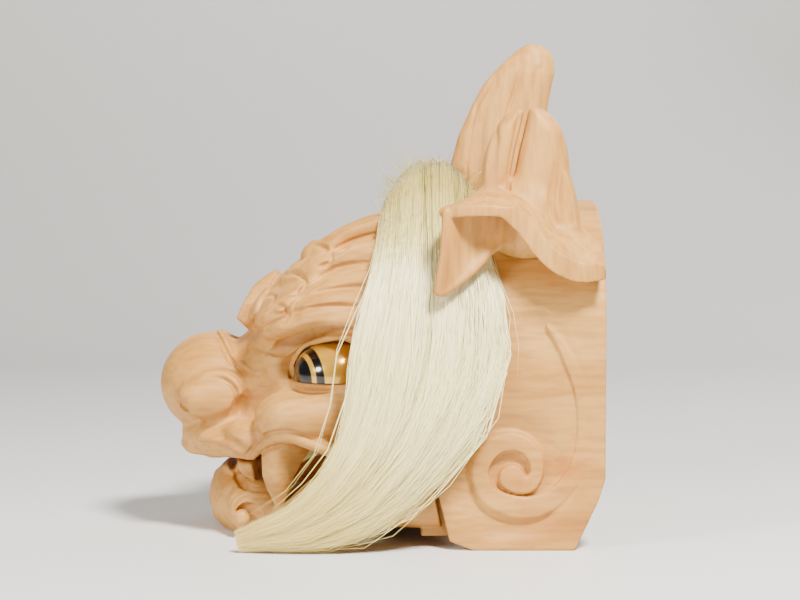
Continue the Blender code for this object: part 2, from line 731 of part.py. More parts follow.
def make_horn(seat):
    bm = bmesh.new()
    base = place(HORN_AT["along"], 0, HORN_AT["up"])
    rings = []
    for front, back, thick in HORN_STATIONS:
        ends = [base + Vector((0, a * HORN_LENGTH, u * HORN_HEIGHT)) for a, u in (front, back)]
        centre = (ends[0] + ends[1]) / 2
        reach = (ends[1] - ends[0]) / 2
        across = Vector((HORN_THICKNESS / 2 * thick, 0, 0))
        turns = [2 * math.pi * k / 20 for k in range(20)]
        rings.append([centre + reach * math.cos(turn) + across * math.sin(turn) for turn in turns])
    add_loft(bm, rings)
    horn = new_object("horn", bm)
    boolean(horn, seat, "DIFFERENCE")
    bm = bmesh.new()
    middle = place(HORN_TENON["along"], 0, 0).y
    top = crown_height(HORN_TENON["along"], 0)
    add_box(
        bm,
        (-HORN_TENON["half_aside"], middle - HORN_TENON["half_along"], top - HORN_TENON_DEPTH),
        (HORN_TENON["half_aside"], middle + HORN_TENON["half_along"], top + ROOT_REACH),
    )
    boolean(horn, as_cutter(new_object("add_horn_tenon", bm)), "UNION")
    return horn


def add_ear(bm, side, growth):
    for _, along, aside, up, half_along, half_aside, half_up, pitch in EAR_LOBES:
        half = Vector((half_aside * EAR_LOBE_THICKNESS, half_along * EAR_LOBE_LENGTH, half_up * EAR_LOBE_HEIGHT))
        half += Vector((growth, growth, growth))
        turn = Matrix.Rotation(-math.radians(pitch), 4, "X")
        matrix = Matrix.Translation(place(along, side * aside, up)) @ turn @ Matrix.Diagonal((*half, 1))
        bmesh.ops.create_uvsphere(bm, u_segments=16, v_segments=10, radius=1, matrix=matrix)
    rows = []
    for inner, rim in EAR_SKIRT:
        inner, rim = place(*inner), place(*rim)
        middle = (inner + rim) / 2 + Vector((0, 0, SKIRT_RISE))
        rows.append([inner, middle, rim])
    for row in rows:
        for point in row:
            point.x *= side
    add_sheet(bm, rows, EAR_SHEET + 2 * growth)
    route = [row[-1] for row in rows]
    add_tube(bm, route, [EAR_SHEET * 0.72 + growth] * len(route), [Vector((side, 0, 0.4))] * len(route))
    rows = []
    for points in EAR_FLAP:
        row = [place(*point) for point in points]
        for point in row:
            point.x *= side
        rows.append(row)
    add_sheet(bm, rows, EAR_SHEET + 2 * growth)


def make_ear(side, tag, seat):
    bm = bmesh.new()
    add_ear(bm, side, 0)
    ear = new_object(f"ear_{tag}", bm)
    fuse(ear, EAR_VOXEL, 1)
    thin_out(ear, EAR_FACES)
    boolean(ear, seat, "DIFFERENCE")
    bm = bmesh.new()
    top = crown_height(SOCKET_AT["along"], SOCKET_AT["aside"])
    centre = place(SOCKET_AT["along"], side * SOCKET_AT["aside"], 0)
    add_upright_rod(bm, centre, top - EAR_PEG_DEPTH, top + ROOT_REACH, EAR_PEG_RADIUS)
    boolean(ear, as_cutter(new_object(f"add_ear_peg_{tag}", bm)), "UNION")
    return ear


def make_mane(side, tag, seat):
    rows = smooth_route(MANE_SECTIONS, 3)
    centres = [place(along, side * aside, up) for along, aside, up, _, _ in rows]
    axis = Vector((0, 0, 0.5 * CROWN_HEIGHT))
    outwards = []
    for centre in centres:
        radial = Vector((centre.x, 0, max(0.0, centre.z - axis.z) * 1.2))
        outwards.append(radial.normalized())
    last = len(centres) - 1
    acrosses = []
    for i in range(len(centres)):
        tangent = (centres[min(i + 1, last)] - centres[max(i - 1, 0)]).normalized()
        acrosses.append(tangent.cross(outwards[i]).normalized())
    bm = bmesh.new()
    for lock in range(LOCKS):
        share = 2 * lock / (LOCKS - 1) - 1
        route = []
        for i, centre in enumerate(centres):
            lift = outwards[i] * LOCK_WAVE * math.cos(2.3 * lock + 0.25 * i)
            route.append(centre + acrosses[i] * share * rows[i][3] * HEAD_LENGTH + lift * rows[i][4])
        radii = [LOCK_RADIUS * row[4] for row in rows]
        add_tube(bm, route, radii, outwards, 0.85)
    rings = []
    for i, centre in enumerate(centres):
        wide = acrosses[i] * (rows[i][3] * HEAD_LENGTH + CORE_MARGIN)
        thick = outwards[i] * LOCK_RADIUS * rows[i][4] * 0.62
        turns = [2 * math.pi * k / 16 for k in range(16)]
        rings.append([centre + wide * math.cos(turn) + thick * math.sin(turn) for turn in turns])
    add_loft(bm, rings)
    mane = new_object(f"mane_{tag}", bm)
    fuse(mane, MANE_VOXEL, 2)
    thin_out(mane, MANE_FACES)
    boolean(mane, seat, "DIFFERENCE")
    bm = bmesh.new()
    add_ear(bm, side, HAIR_GAP)
    near_ear = as_cutter(new_object(f"cut_near_ear_{tag}", bm))
    fuse(near_ear, EAR_VOXEL, 1)
    thin_out(near_ear, 900)
    boolean(mane, near_ear, "DIFFERENCE")
    bm = bmesh.new()
    add_box(bm, (-2 * HEAD_WIDTH, -HEAD_LENGTH, -2 * CUT_REACH), (2 * HEAD_WIDTH, HEAD_LENGTH, FLOOR_GAP))
    edges = sorted((-side * HEAD_WIDTH, side * CARVED_GAP))
    boolean(mane, as_cutter(new_object(f"cut_mane_floor_{tag}", bm)), "DIFFERENCE")
    bm = bmesh.new()
    add_box(bm, (edges[0], -HEAD_LENGTH, -CROWN_HEIGHT), (edges[1], HEAD_LENGTH, 2 * CROWN_HEIGHT))
    boolean(mane, as_cutter(new_object(f"cut_mane_parting_{tag}", bm)), "DIFFERENCE")
    return mane


def main():
    for obj in list(bpy.data.objects):
        bpy.data.objects.remove(obj, do_unlink=True)
    wood = (0.62, 0.43, 0.24)
    seat = skull_seat("skull_seat")
    head = make_head()
    cut_head(head)
    head.data.materials.append(material("carved_wood", wood, 0.55))
    jaw = make_jaw()
    jaw.data.materials.append(material("jaw_wood", wood, 0.55))
    pivot = bpy.data.objects.new("jaw_pivot", None)
    collection_named("lion_dance_head").objects.link(pivot)
    pivot.location = place(AXLE["along"], 0, AXLE["up"])
    bpy.context.view_layer.update()
    jaw.parent = pivot
    jaw.matrix_parent_inverse = pivot.matrix_world.inverted()
    axle = rod_across("jaw_axle", HALF_WIDTH - WALL + AXLE_SOCKET_DEPTH - SEAT_GAP, AXLE_RADIUS)
    axle.data.materials.append(material("axle_wood", (0.45, 0.30, 0.17), 0.6))
    horn = make_horn(seat)
    horn.data.materials.append(material("horn_wood", wood, 0.5))
    for side, tag in ((1, "left"), (-1, "right")):
        ear = make_ear(side, tag, seat)
        ear.data.materials.append(material(f"ear_wood_{tag}", wood, 0.55))
        eye = eye_body(f"eye_{tag}", side, 0)
        eye.data.materials.append(material(f"eye_gold_{tag}", (0.75, 0.45, 0.08), 0.12, 0.8, 1.0))
        mane = make_mane(side, tag, seat)
        mane.data.materials.append(material(f"mane_hair_{tag}", (0.85, 0.80, 0.58), 0.6))


main()
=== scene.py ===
# %% [markdown]
# # A carved lion dance head
#
# The object is a dance head of pale unpainted wood with a hinged jaw, lacquered eyes and a horsehair mane.
# The CAD model gives every size and the jaw's hinge, so this script starts by loading it as a fixed frame.
# A real carver starts from one block and takes wood away. The script does the same with a block of numbers:
# a grid that holds, at each point, how far that point is from the surface. Adding and carving forms in such
# a grid gives soft, continuous transitions, which loose meshes pushed into each other never do.

# %% Load the frame
import json
import math

import bmesh
import bpy
import numpy as np
import openvdb
from mathutils import Matrix, Vector
from mathutils.bvhtree import BVHTree

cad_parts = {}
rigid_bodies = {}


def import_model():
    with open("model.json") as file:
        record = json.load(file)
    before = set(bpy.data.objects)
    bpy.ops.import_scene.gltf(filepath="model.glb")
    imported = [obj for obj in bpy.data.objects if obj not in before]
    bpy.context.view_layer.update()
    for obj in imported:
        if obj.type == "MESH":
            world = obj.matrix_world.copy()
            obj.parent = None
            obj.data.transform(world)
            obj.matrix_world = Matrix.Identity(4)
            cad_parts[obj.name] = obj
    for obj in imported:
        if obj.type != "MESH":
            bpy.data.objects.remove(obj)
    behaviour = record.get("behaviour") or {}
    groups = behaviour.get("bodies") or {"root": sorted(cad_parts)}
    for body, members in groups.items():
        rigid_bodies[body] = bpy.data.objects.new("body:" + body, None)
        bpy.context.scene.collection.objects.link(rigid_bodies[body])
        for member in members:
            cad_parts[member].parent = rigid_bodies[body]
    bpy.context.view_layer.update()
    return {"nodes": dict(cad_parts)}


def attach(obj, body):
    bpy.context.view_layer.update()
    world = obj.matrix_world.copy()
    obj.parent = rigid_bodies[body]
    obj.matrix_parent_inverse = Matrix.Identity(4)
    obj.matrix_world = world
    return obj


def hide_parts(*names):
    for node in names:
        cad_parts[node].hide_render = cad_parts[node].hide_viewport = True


for leftover in list(bpy.data.objects):
    bpy.data.objects.remove(leftover, do_unlink=True)
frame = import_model()

# %% [markdown]
# ## Sizes
#
# These are the sizes of the CAD model, in metres. The head looks along -Y, and its left side is at +X.
# Most tables below hold shares of them: along is a share of the length, aside of half the width, up of the
# height, so a place on the head reads the same in the CAD model and here.

# %% Sizes shared with the CAD model
HEAD_LENGTH = 0.290
HALF_WIDTH = 0.112
CROWN_HEIGHT = 0.220
WALL = 0.015
ARCH_POWER = 2.3
MM = 0.001


def place(along, aside, up):
    return np.array((aside * HALF_WIDTH, along * HEAD_LENGTH, up * CROWN_HEIGHT))


def smooth_route(points, steps):
    """Points along a smooth curve that passes through each row of numbers."""
    rows = np.array([points[0], *points, points[-1]], float)
    found = []
    for a, b, c, d in zip(rows, rows[1:], rows[2:], rows[3:]):
        for t in np.arange(steps) / steps:
            found.append(
                0.5 * (2 * b + (c - a) * t + (2 * a - 5 * b + 4 * c - d) * t**2 + (3 * b - a - 3 * c + d) * t**3)
            )
    return np.array([*found, rows[-1]])


print("head", HEAD_LENGTH, "m long,", 2 * HALF_WIDTH, "m wide, walls of", WALL, "m")

# %% [markdown]
# ## Floor, light and camera
#
# The head stands on a pale floor that curves up behind it, as on a photographer's table. The main soft
# light hangs high over the left side, so slopes that face down or forwards fall into shade and the relief
# shows. A weaker light fills the face, a third one edges the far side, and the sky is an even pale grey.
# The camera looks at the head's left side from a little above the floor, as the photograph does.

# %% Floor
def linked(name, data):
    """A new object for this data, in the scene."""
    made = bpy.data.objects.new(name, data)
    bpy.context.scene.collection.objects.link(made)
    return made


def smooth_mesh(name, bm):
    mesh = bpy.data.meshes.new(name)
    bm.to_mesh(mesh)
    bm.free()
    mesh.shade_smooth()
    return mesh


bm = bmesh.new()
FLOOR_BACK = -1.2
BEND_RADIUS = 0.6
BEND_STEPS = 12
sweep = [(3.0, 0.0), (FLOOR_BACK, 0.0)]
for i in range(1, BEND_STEPS + 1):
    turn = math.pi / 2 * i / BEND_STEPS
    sweep.append((FLOOR_BACK - BEND_RADIUS * math.sin(turn), BEND_RADIUS - BEND_RADIUS * math.cos(turn)))
sweep.append((FLOOR_BACK - BEND_RADIUS, 2.6))
columns = [[bm.verts.new((x, y, z)) for x, z in sweep] for y in (-3.5, 3.5)]
for i in range(len(sweep) - 1):
    bm.faces.new((columns[0][i], columns[0][i + 1], columns[1][i + 1], columns[1][i]))
floor = linked("studio_floor", smooth_mesh("studio_floor", bm))
pale_floor = bpy.data.materials.new("pale_floor")
pale_floor.use_nodes = True
floor_shader = pale_floor.node_tree.nodes["Principled BSDF"]
floor_shader.inputs["Base Color"].default_value = (0.72, 0.72, 0.71, 1)
floor_shader.inputs["Roughness"].default_value = 0.55
floor.data.materials.append(pale_floor)
print("floor faces", len(floor.data.polygons))

# %% [markdown]
# Each light is a soft disk that is set at one point and turned towards another. The camera is placed by the
# angle round the head, the angle above the floor and the distance from the point that it looks at.

# %% Light and camera
def soft_light(name, spot, aim, size, power, colour=(1, 1, 1)):
    lamp = bpy.data.lights.new(name, "AREA")
    lamp.shape, lamp.size, lamp.energy, lamp.color = "DISK", size, power, colour
    holder = linked(name, lamp)
    holder.location = spot
    holder.rotation_euler = (Vector(aim) - Vector(spot)).to_track_quat("-Z", "Y").to_euler()


soft_light("key_light", (0.90, 0.46, 1.36), (0, 0, 0.14), 0.36, 84, (1.0, 0.96, 0.89))
soft_light("front_light", (1.15, -1.25, 0.75), (0, 0, 0.12), 0.45, 30, (1.0, 0.97, 0.92))
soft_light("rim_light", (-1.2, 0.9, 0.9), (0, 0, 0.15), 0.8, 10)

world = bpy.data.worlds.new("studio")
world.use_nodes = True
world.node_tree.nodes["Background"].inputs["Color"].default_value = (0.80, 0.81, 0.83, 1)
world.node_tree.nodes["Background"].inputs["Strength"].default_value = 0.13
bpy.context.scene.world = world

lens = bpy.data.cameras.new("camera")
lens.lens = 100
lens.sensor_width = 36
camera = linked("camera", lens)
AZIMUTH, ELEVATION = math.radians(90), math.radians(3.5)
CAMERA_TARGET = Vector((0, 0.0157, 0.1512))
CAMERA_DISTANCE = 1.5
flat = math.cos(ELEVATION)
back = Vector((math.sin(AZIMUTH) * flat, -math.cos(AZIMUTH) * flat, math.sin(ELEVATION)))
camera.location = CAMERA_TARGET + back * CAMERA_DISTANCE
camera.rotation_euler = (-back).to_track_quat("-Z", "Y").to_euler()
bpy.context.scene.camera = camera
print("camera at", [round(v, 3) for v in camera.location])

# %% [markdown]
# ## A block to carve
#
# The block keeps one number at each point of a grid: negative in the wood, positive outside it. Adding a
# form takes the smaller of two distances, carving takes the larger of one and the other's negative. A small
# blend width rounds the corner where two forms meet, as a gouge and sandpaper would. Only the left half is
# computed and then mirrored. OpenVDB, which comes with Blender, skins the zero surface with quads.

# %% The block and its tools
def soft_min(a, b, width):
    if width <= 0:
        return np.minimum(a, b)
    near = np.maximum(width - np.abs(a - b), 0) / width
    return np.minimum(a, b) - near * near * width / 4


class Block:
    def __init__(self, low, high, step):
        self.step = step
        self.low = np.array(low, float)
        counts = np.ceil((np.array(high) - self.low) / step).astype(int) + 1
        self.axes = [self.low[i] + step * np.arange(counts[i]) for i in range(3)]
        self.field = np.full(counts, 0.03, np.float32)

    def window(self, low, high):
        """The part of the grid between two corners: its index and its coordinates."""
        cut = []
        for axis, a, b in zip(self.axes, low, high):
            first, last = np.searchsorted(axis, (a, b))
            cut.append(slice(max(first - 1, 0), last + 1))
        grids = np.meshgrid(*[axis[part] for axis, part in zip(self.axes, cut)], indexing="ij", sparse=True)
        return tuple(cut), grids

    def apply(self, form, width, carve=False):
        distance, low, high = form
        reach = 2 * self.step + width
        cut, grids = self.window(low - reach, high + reach)
        if 0 in self.field[cut].shape:
            return
        change = distance(*grids)
        if carve:
            self.field[cut] = -soft_min(-self.field[cut], change, width)
        else:
            self.field[cut] = soft_min(self.field[cut], change, width)

    def add(self, form, width=0.003):
        self.apply(form, width)

    def carve(self, form, width=0.001):
        self.apply(form, width, carve=True)


def wood_left(block, work):
    """Prints how much wood a block holds after a piece of work."""
    print(f"{work}: {(block.field < 0).sum() * (block.step * 100) ** 3:.1f} cm3 of wood in the block")


def unit_rows(vectors):
    """Every row made one long."""
    return vectors / np.linalg.norm(vectors, axis=1, keepdims=True)


print("two faces that touch, blended over 4 mm, swell by", -float(soft_min(0.0, 0.0, 0.004)) / 0.001, "mm")

# %% [markdown]
# ## Forms
#
# Three kinds of form make most of it. An egg is a rounded mass, a roll is a rod of changing thickness
# along a curve, and an outline is a shape drawn in the side view and pushed across the head.
# Each returns its distance function and the box that it fills.

# %% Eggs, rolls and outlines
def turned(pitch, yaw=0.0):
    """A positive pitch lifts the front end; a positive yaw swings it to the head's left."""
    about_x = Matrix.Rotation(-math.radians(pitch), 3, "X")
    about_z = Matrix.Rotation(math.radians(yaw), 3, "Z")
    return np.array(about_z @ about_x)


def egg(centre, half, pitch=0.0, yaw=0.0):
    centre, half = np.array(centre, float), np.array(half, float)
    turn = turned(pitch, yaw)

    def distance(x, y, z):
        offset = (x - centre[0], y - centre[1], z - centre[2])
        local = [sum(turn[j, i] * offset[j] for j in range(3)) for i in range(3)]
        first = np.sqrt(sum((p / h) ** 2 for p, h in zip(local, half)))
        second = np.sqrt(sum((p / h**2) ** 2 for p, h in zip(local, half)))
        return first * (first - 1) / np.maximum(second, 1e-6)

    reach = np.sqrt((turn**2) @ (half**2))
    return distance, centre - reach, centre + reach


def rod(start, end, squeeze=1.0):
    """A rod between two points, each with its radius as a fourth number. squeeze makes it thinner in x."""
    a, b = np.array(start[:3], float), np.array(end[:3], float)
    scale = np.array((squeeze, 1, 1))
    along = (b - a) * scale
    length = max(along @ along, 1e-12)

    def distance(x, y, z):
        px, py, pz = (x - a[0]) * squeeze, y - a[1], z - a[2]
        t = np.clip((px * along[0] + py * along[1] + pz * along[2]) / length, 0, 1)
        gap = np.sqrt((px - t * along[0]) ** 2 + (py - t * along[1]) ** 2 + (pz - t * along[2]) ** 2)
        return gap - (start[3] + t * (end[3] - start[3]))

    reach = max(start[3], end[3])
    return distance, np.minimum(a, b) - reach, np.maximum(a, b) + reach


def roll(points, steps=5, squeeze=1.0):
    """Rods end to end along a smooth curve through rows of x, y, z and radius."""
    rows = smooth_route(points, steps)
    rods = [rod(a, b, squeeze) for a, b in zip(rows, rows[1:])]
    low = np.min([part[1] for part in rods], axis=0)
    high = np.max([part[2] for part in rods], axis=0)

    def distance(x, y, z):
        found = rods[0][0](x, y, z)
        for part in rods[1:]:
            found = np.minimum(found, part[0](x, y, z))
        return found

    return distance, low, high


def outline(points, low_x, high_x, round_off=0.0):
    """A closed outline in the side view, as y and z, pushed from low_x to high_x."""
    corners = np.array(points, float)

    def distance(x, y, z):
        gap = np.full(np.broadcast(y, z).shape, 1e9)
        inside = np.zeros(gap.shape, bool)
        for (ay, az), (by, bz) in zip(corners, np.roll(corners, -1, axis=0)):
            ey, ez = by - ay, bz - az
            t = np.clip(((y - ay) * ey + (z - az) * ez) / (ey * ey + ez * ez), 0, 1)
            gap = np.minimum(gap, (y - ay - t * ey) ** 2 + (z - az - t * ez) ** 2)
            if ez:
                crossing = (az > z) != (bz > z)
                inside ^= crossing & (y < ay + (z - az) * ey / ez)
        flat = np.sqrt(gap) * np.where(inside, -1, 1)
        sides = np.maximum(low_x - x, x - high_x)
        return -soft_min(-flat, -sides, round_off)

    low = np.array((low_x, *corners.min(axis=0)))
    high = np.array((high_x, *corners.max(axis=0)))
    return distance, low, high
print("distance at the end of an egg", float(egg((0, 0, 0), (1, 2, 3))[0](0.0, 2.0, 0.0)))

# %% [markdown]
# A padded outline is a drawn shape filled like a cushion: its edge is rounded over a given width, and its
# middle has an even thickness. Lobes, leaves and teeth keep an exact outline this way.

# %% Padded outlines
SQUARE = [(-1, -1), (1, -1), (1, 1), (-1, 1)]


def padded(points, middle_x, half_x, edge):
    flat, low, high = outline(points, -1.0, 1.0)

    def distance(x, y, z):
        over = np.maximum(flat(0 * x, y, z) + edge, 0)
        return np.sqrt(over**2 + ((x - middle_x) * edge / half_x) ** 2) - edge

    return distance, np.array((middle_x - half_x, low[1], low[2])), np.array((middle_x + half_x, high[1], high[2]))
print("a padded square fills", *[corner.tolist() for corner in padded(SQUARE, 0.0, 0.1, 0.2)[1:]])

# %% [markdown]
# Most of the fine carving follows the surface. A carver draws a line on the wood in the side view and cuts
# along it, so the tool always meets the surface wherever that lies. The next helpers do the same. They look
# along one axis for the outermost wood under each point of a line, and set a round tool a little outside
# it for a groove, or a round bead a little inside it for a ridge. The last number in each row of such a
# line is how hard the tool presses there, from 0 to 1, so lines can fade in and out.

# %% Lines that follow the surface
def field_at(block, points):
    """The block's distance at free points, from the eight grid points round each."""
    spot = (points - block.low) / block.step
    spot = np.clip(spot, 0, np.array(block.field.shape) - 1.001)
    cell = spot.astype(int)
    part = spot - cell
    total = np.zeros(len(points))
    for corner in np.ndindex(2, 2, 2):
        weight = np.prod(np.where(corner, part, 1 - part), axis=1)
        i, j, k = (cell + corner).T
        total += weight * block.field[i, j, k]
    return total


def laid_on(block, points, axis):
    """Moves points along one axis to the outermost wood, and gives the way that the surface faces there."""
    first, last = block.axes[axis][0], block.axes[axis][-1]
    start, end = (first, last) if axis == 1 else (last, first)
    if axis == 2:
        start = min(last, CROWN_HEIGHT)
    marks = np.arange(start, end, math.copysign(block.step / 2, end - start))
    found = points.copy()
    waiting = np.ones(len(points), bool)
    for mark in marks:
        trial = points.copy()
        trial[:, axis] = mark
        value = field_at(block, trial)
        hit = waiting & (value < 0)
        found[hit, axis] = mark
        waiting &= ~hit
        if not waiting.any():
            break
    slope = np.zeros_like(found)
    for _ in range(3):
        for i in range(3):
            step = np.zeros(3)
            step[i] = block.step
            slope[:, i] = (field_at(block, found + step) - field_at(block, found - step)) / (2 * block.step)
        size = np.maximum(np.linalg.norm(slope, axis=1, keepdims=True), 0.2)
        found = found - np.clip(field_at(block, found)[:, None] / size, -0.001, 0.001) * slope / size
    return found, slope / np.maximum(np.linalg.norm(slope, axis=1, keepdims=True), 1e-6)


def drawn_line(block, rows, axis, steps=5):
    """A smooth line on the surface. Rows are the two coordinates other than the axis, in mm, and the press."""
    drawn = smooth_route(rows, steps)
    points = np.zeros((len(drawn), 3))
    points[:, [i for i in range(3) if i != axis]] = drawn[:, :2] * MM
    return *laid_on(block, points, axis), np.clip(drawn[:, 2], 0, 1)


def tool_radius(width, depth):
    """The radius of a round tool that leaves a line this wide when it is pressed this deep."""
    return (width**2 / 4 + depth**2) / (2 * depth)


def groove(block, rows, width, depth, soften=1.0, axis=0):
    """Carves a round-bottomed line. Width, depth and softening of its edges are in mm."""
    radius = tool_radius(width, depth) * MM
    points, facing, press = drawn_line(block, rows, axis)
    centres = points + facing * (radius - depth * MM * press)[:, None]
    block.carve(roll(np.column_stack([centres, np.full(len(centres), radius)]), 1), soften * MM)


def trench(block, rows, soften=1.0, axis=0):
    """Carves a line whose size changes. Each row ends with its half width and its depth, both in mm."""
    drawn = smooth_route(rows, 5)
    half, depth = np.maximum(drawn[:, 2], 0.3) * MM, np.maximum(drawn[:, 3], 0.1) * MM
    points, facing, _ = drawn_line(block, [row[:3] for row in rows], axis)
    radius = (half**2 + depth**2) / (2 * depth)
    centres = points + facing * (radius - depth)[:, None]
    block.carve(roll(np.column_stack([centres, radius]), 1), soften * MM)


def bead(block, rows, width, height, soften=1.0, axis=0):
    """Raises a round-topped line, with the same numbers."""
    radius = tool_radius(width, height) * MM
    points, facing, press = drawn_line(block, rows, axis)
    centres = points + facing * (height * MM * press - radius)[:, None]
    block.add(roll(np.column_stack([centres, np.full(len(centres), radius)]), 1), soften * MM)


print("a groove 4 mm wide and 1 mm deep needs a tool with a radius of", tool_radius(4, 1), "mm")

# %% [markdown]
# The vault of the skull changes from section to section, so it has a form of its own. Each section is a wall
# that stands up to the shoulder and a rounded arch over it. The hollow behind the face is the same form,
# made smaller by the thickness of the wall.

# %% The vault and other forms with changing sections
def vault(sections, growth, floor, front_cap, rear_cap):
    rows = sorted(sections, key=lambda row: row[0])
    stations = [row[0] * HEAD_LENGTH for row in rows]

    def distance(x, y, z):
        half = np.interp(y, stations, [row[1] * HALF_WIDTH + growth for row in rows])
        shoulder = np.interp(y, stations, [row[2] * CROWN_HEIGHT for row in rows])
        rise = np.interp(y, stations, [row[3] * CROWN_HEIGHT + growth for row in rows]) - shoulder
        over = np.maximum(z - shoulder, 0)
        share = ((np.abs(x) / half) ** ARCH_POWER + (over / rise) ** ARCH_POWER) ** (1 / ARCH_POWER)
        radius = np.sqrt(x**2 + over**2)
        ring = np.where(share > 1e-4, radius - radius / np.maximum(share, 1e-4), -half)
        ends = np.maximum(front_cap - y, y - rear_cap)
        return np.maximum(np.maximum(ring, ends), floor - z)

    high = np.array((HALF_WIDTH + growth, rear_cap, CROWN_HEIGHT + growth))
    return distance, np.array((0, front_cap, floor)), high


def trough(sections, power=4.4):
    """A rounded box that runs front to back. Sections are along, half width, low and high."""
    rows = sorted(sections, key=lambda row: row[0])
    stations = [row[0] * HEAD_LENGTH for row in rows]

    def distance(x, y, z):
        half = np.interp(y, stations, [row[1] * HALF_WIDTH for row in rows])
        low = np.interp(y, stations, [row[2] * CROWN_HEIGHT for row in rows])
        high = np.interp(y, stations, [row[3] * CROWN_HEIGHT for row in rows])
        middle, rise = (low + high) / 2, (high - low) / 2
        share = ((np.abs(x) / half) ** power + (np.abs(z - middle) / rise) ** power) ** (1 / power)
        ring = (share - 1) * np.minimum(half, rise)
        return np.maximum(ring, np.maximum(stations[0] - y, y - stations[-1]))

    low = np.array((0, stations[0], min(row[2] for row in rows) * CROWN_HEIGHT))
    high = np.array((HALF_WIDTH, stations[-1], max(row[3] for row in rows) * CROWN_HEIGHT))
    return distance, low, high
sample = trough([(0.0, 1.0, 0.0, 1.0), (0.5, 1.0, 0.0, 1.0)])
print("a sample trough fills", *[corner.round(3).tolist() for corner in sample[1:]])

# %% [markdown]
# A finished block becomes a mesh. The half grid is mirrored first, so both halves of the face match and
# meet without a seam. Decimation then spends the triangles where the carving is and saves them on flat walls.

# %% From block to mesh
def skinned(name, block, triangles, mirrored):
    field = block.field
    low = block.low.copy()
    if mirrored:
        field = np.concatenate([field[:0:-1], field])
        low[0] = -block.axes[0][-1]
    grid = openvdb.FloatGrid(0.03)
    grid.copyFromArray(np.ascontiguousarray(field, np.float32))
    points, _, quads = grid.convertToPolygons(0.0, 0.0)
    points = points * block.step + low
    mesh = bpy.data.meshes.new(name)
    mesh.from_pydata(points.tolist(), [], quads.tolist())
    mesh.validate()
    made = linked(name, mesh)
    bm = bmesh.new()
    bm.from_mesh(mesh)
    bmesh.ops.recalc_face_normals(bm, faces=bm.faces[:])
    bm.to_mesh(mesh)
    bm.free()
    count = 2 * len(quads)
    if count > triangles:
        thin = made.modifiers.new("fewer faces", "DECIMATE")
        thin.ratio = triangles / count
        evaluated = made.evaluated_get(bpy.context.evaluated_depsgraph_get())
        thinner = bpy.data.meshes.new_from_object(evaluated)
        made.modifiers.clear()
        made.data = thinner
    made.data.shade_smooth()
    print(f"{name}: {count} triangles skinned, {sum(len(p.vertices) - 2 for p in made.data.polygons)} kept")
    return made


# %% [markdown]
# ## The upper head
#
# The skull is roughed out first. The sections are the CAD model's own and the rounded masses stay close to
# its own, so the dressed head fills the same space. Each mass is one thing that a carver would name: the
# bridge and bulb of the nose, the muzzle, the lip, the cheeks and the brow.

# %% Rough out the skull and the face
SKULL_SECTIONS = [
    # along, aside, shoulder, crown
    (0.530, 0.985, 0.636, 0.991),
    (0.345, 1.000, 0.636, 1.000),
    (0.207, 1.000, 0.636, 0.995),
    (0.069, 0.973, 0.600, 0.968),
    (-0.034, 0.902, 0.568, 0.923),
    (-0.121, 0.804, 0.536, 0.850),
    (-0.190, 0.670, 0.500, 0.775),
    (-0.255, 0.500, 0.470, 0.665),
    (-0.331, 0.340, 0.420, 0.545),
]
HEAD_MASSES = [
    # name, along, aside, up, half_along, half_aside, half_up, pitch, blend in mm
    ("bridge", -0.300, 0.000, 0.470, 0.110, 0.330, 0.085, 8, 10),
    ("muzzle", -0.330, 0.000, 0.292, 0.112, 0.520, 0.092, -6, 6),
    ("lip_side", -0.262, 0.470, 0.285, 0.085, 0.200, 0.070, 10, 5),
    ("cheek", -0.125, 0.640, 0.374, 0.145, 0.275, 0.102, -6, 5),
    ("brow", -0.105, 0.520, 0.690, 0.175, 0.340, 0.090, -17, 8),
    ("brow_front", -0.215, 0.250, 0.672, 0.075, 0.200, 0.075, -30, 6),
    ("nose_bulb", -0.381, 0.000, 0.436, 0.1215, 0.420, 0.154, 0, 3),
]
head = Block((0.0, -0.151, -0.004), (0.121, 0.152, 0.226), 0.00095)
head.add(vault(SKULL_SECTIONS, 0.0, -0.02, -0.331 * HEAD_LENGTH, 0.530 * HEAD_LENGTH), 0)


def half_sizes(half_along, half_aside, half_up):
    return np.array((half_aside * HALF_WIDTH, half_along * HEAD_LENGTH, half_up * CROWN_HEIGHT))


for _, along, aside, up, half_along, half_aside, half_up, pitch, blend in HEAD_MASSES:
    for side in (1, -1) if 0 < aside < 2 * half_aside else (1,):
        mass = egg(place(along, side * aside, up), half_sizes(half_along, half_aside, half_up), pitch)
        head.add(mass, blend * MM)
print("block", head.field.shape, "points in wood", int((head.field < 0).sum()))

# %% [markdown]
# Over each eye, four thick strands of brow hair sweep back from curled knobs at the forehead. The strands
# are rolls pressed into the brow. The valleys between them are then cut as lines on the surface, with a
# wide soft cut first and a narrow sharp one in it, which is how a round gouge and a V gouge are used.

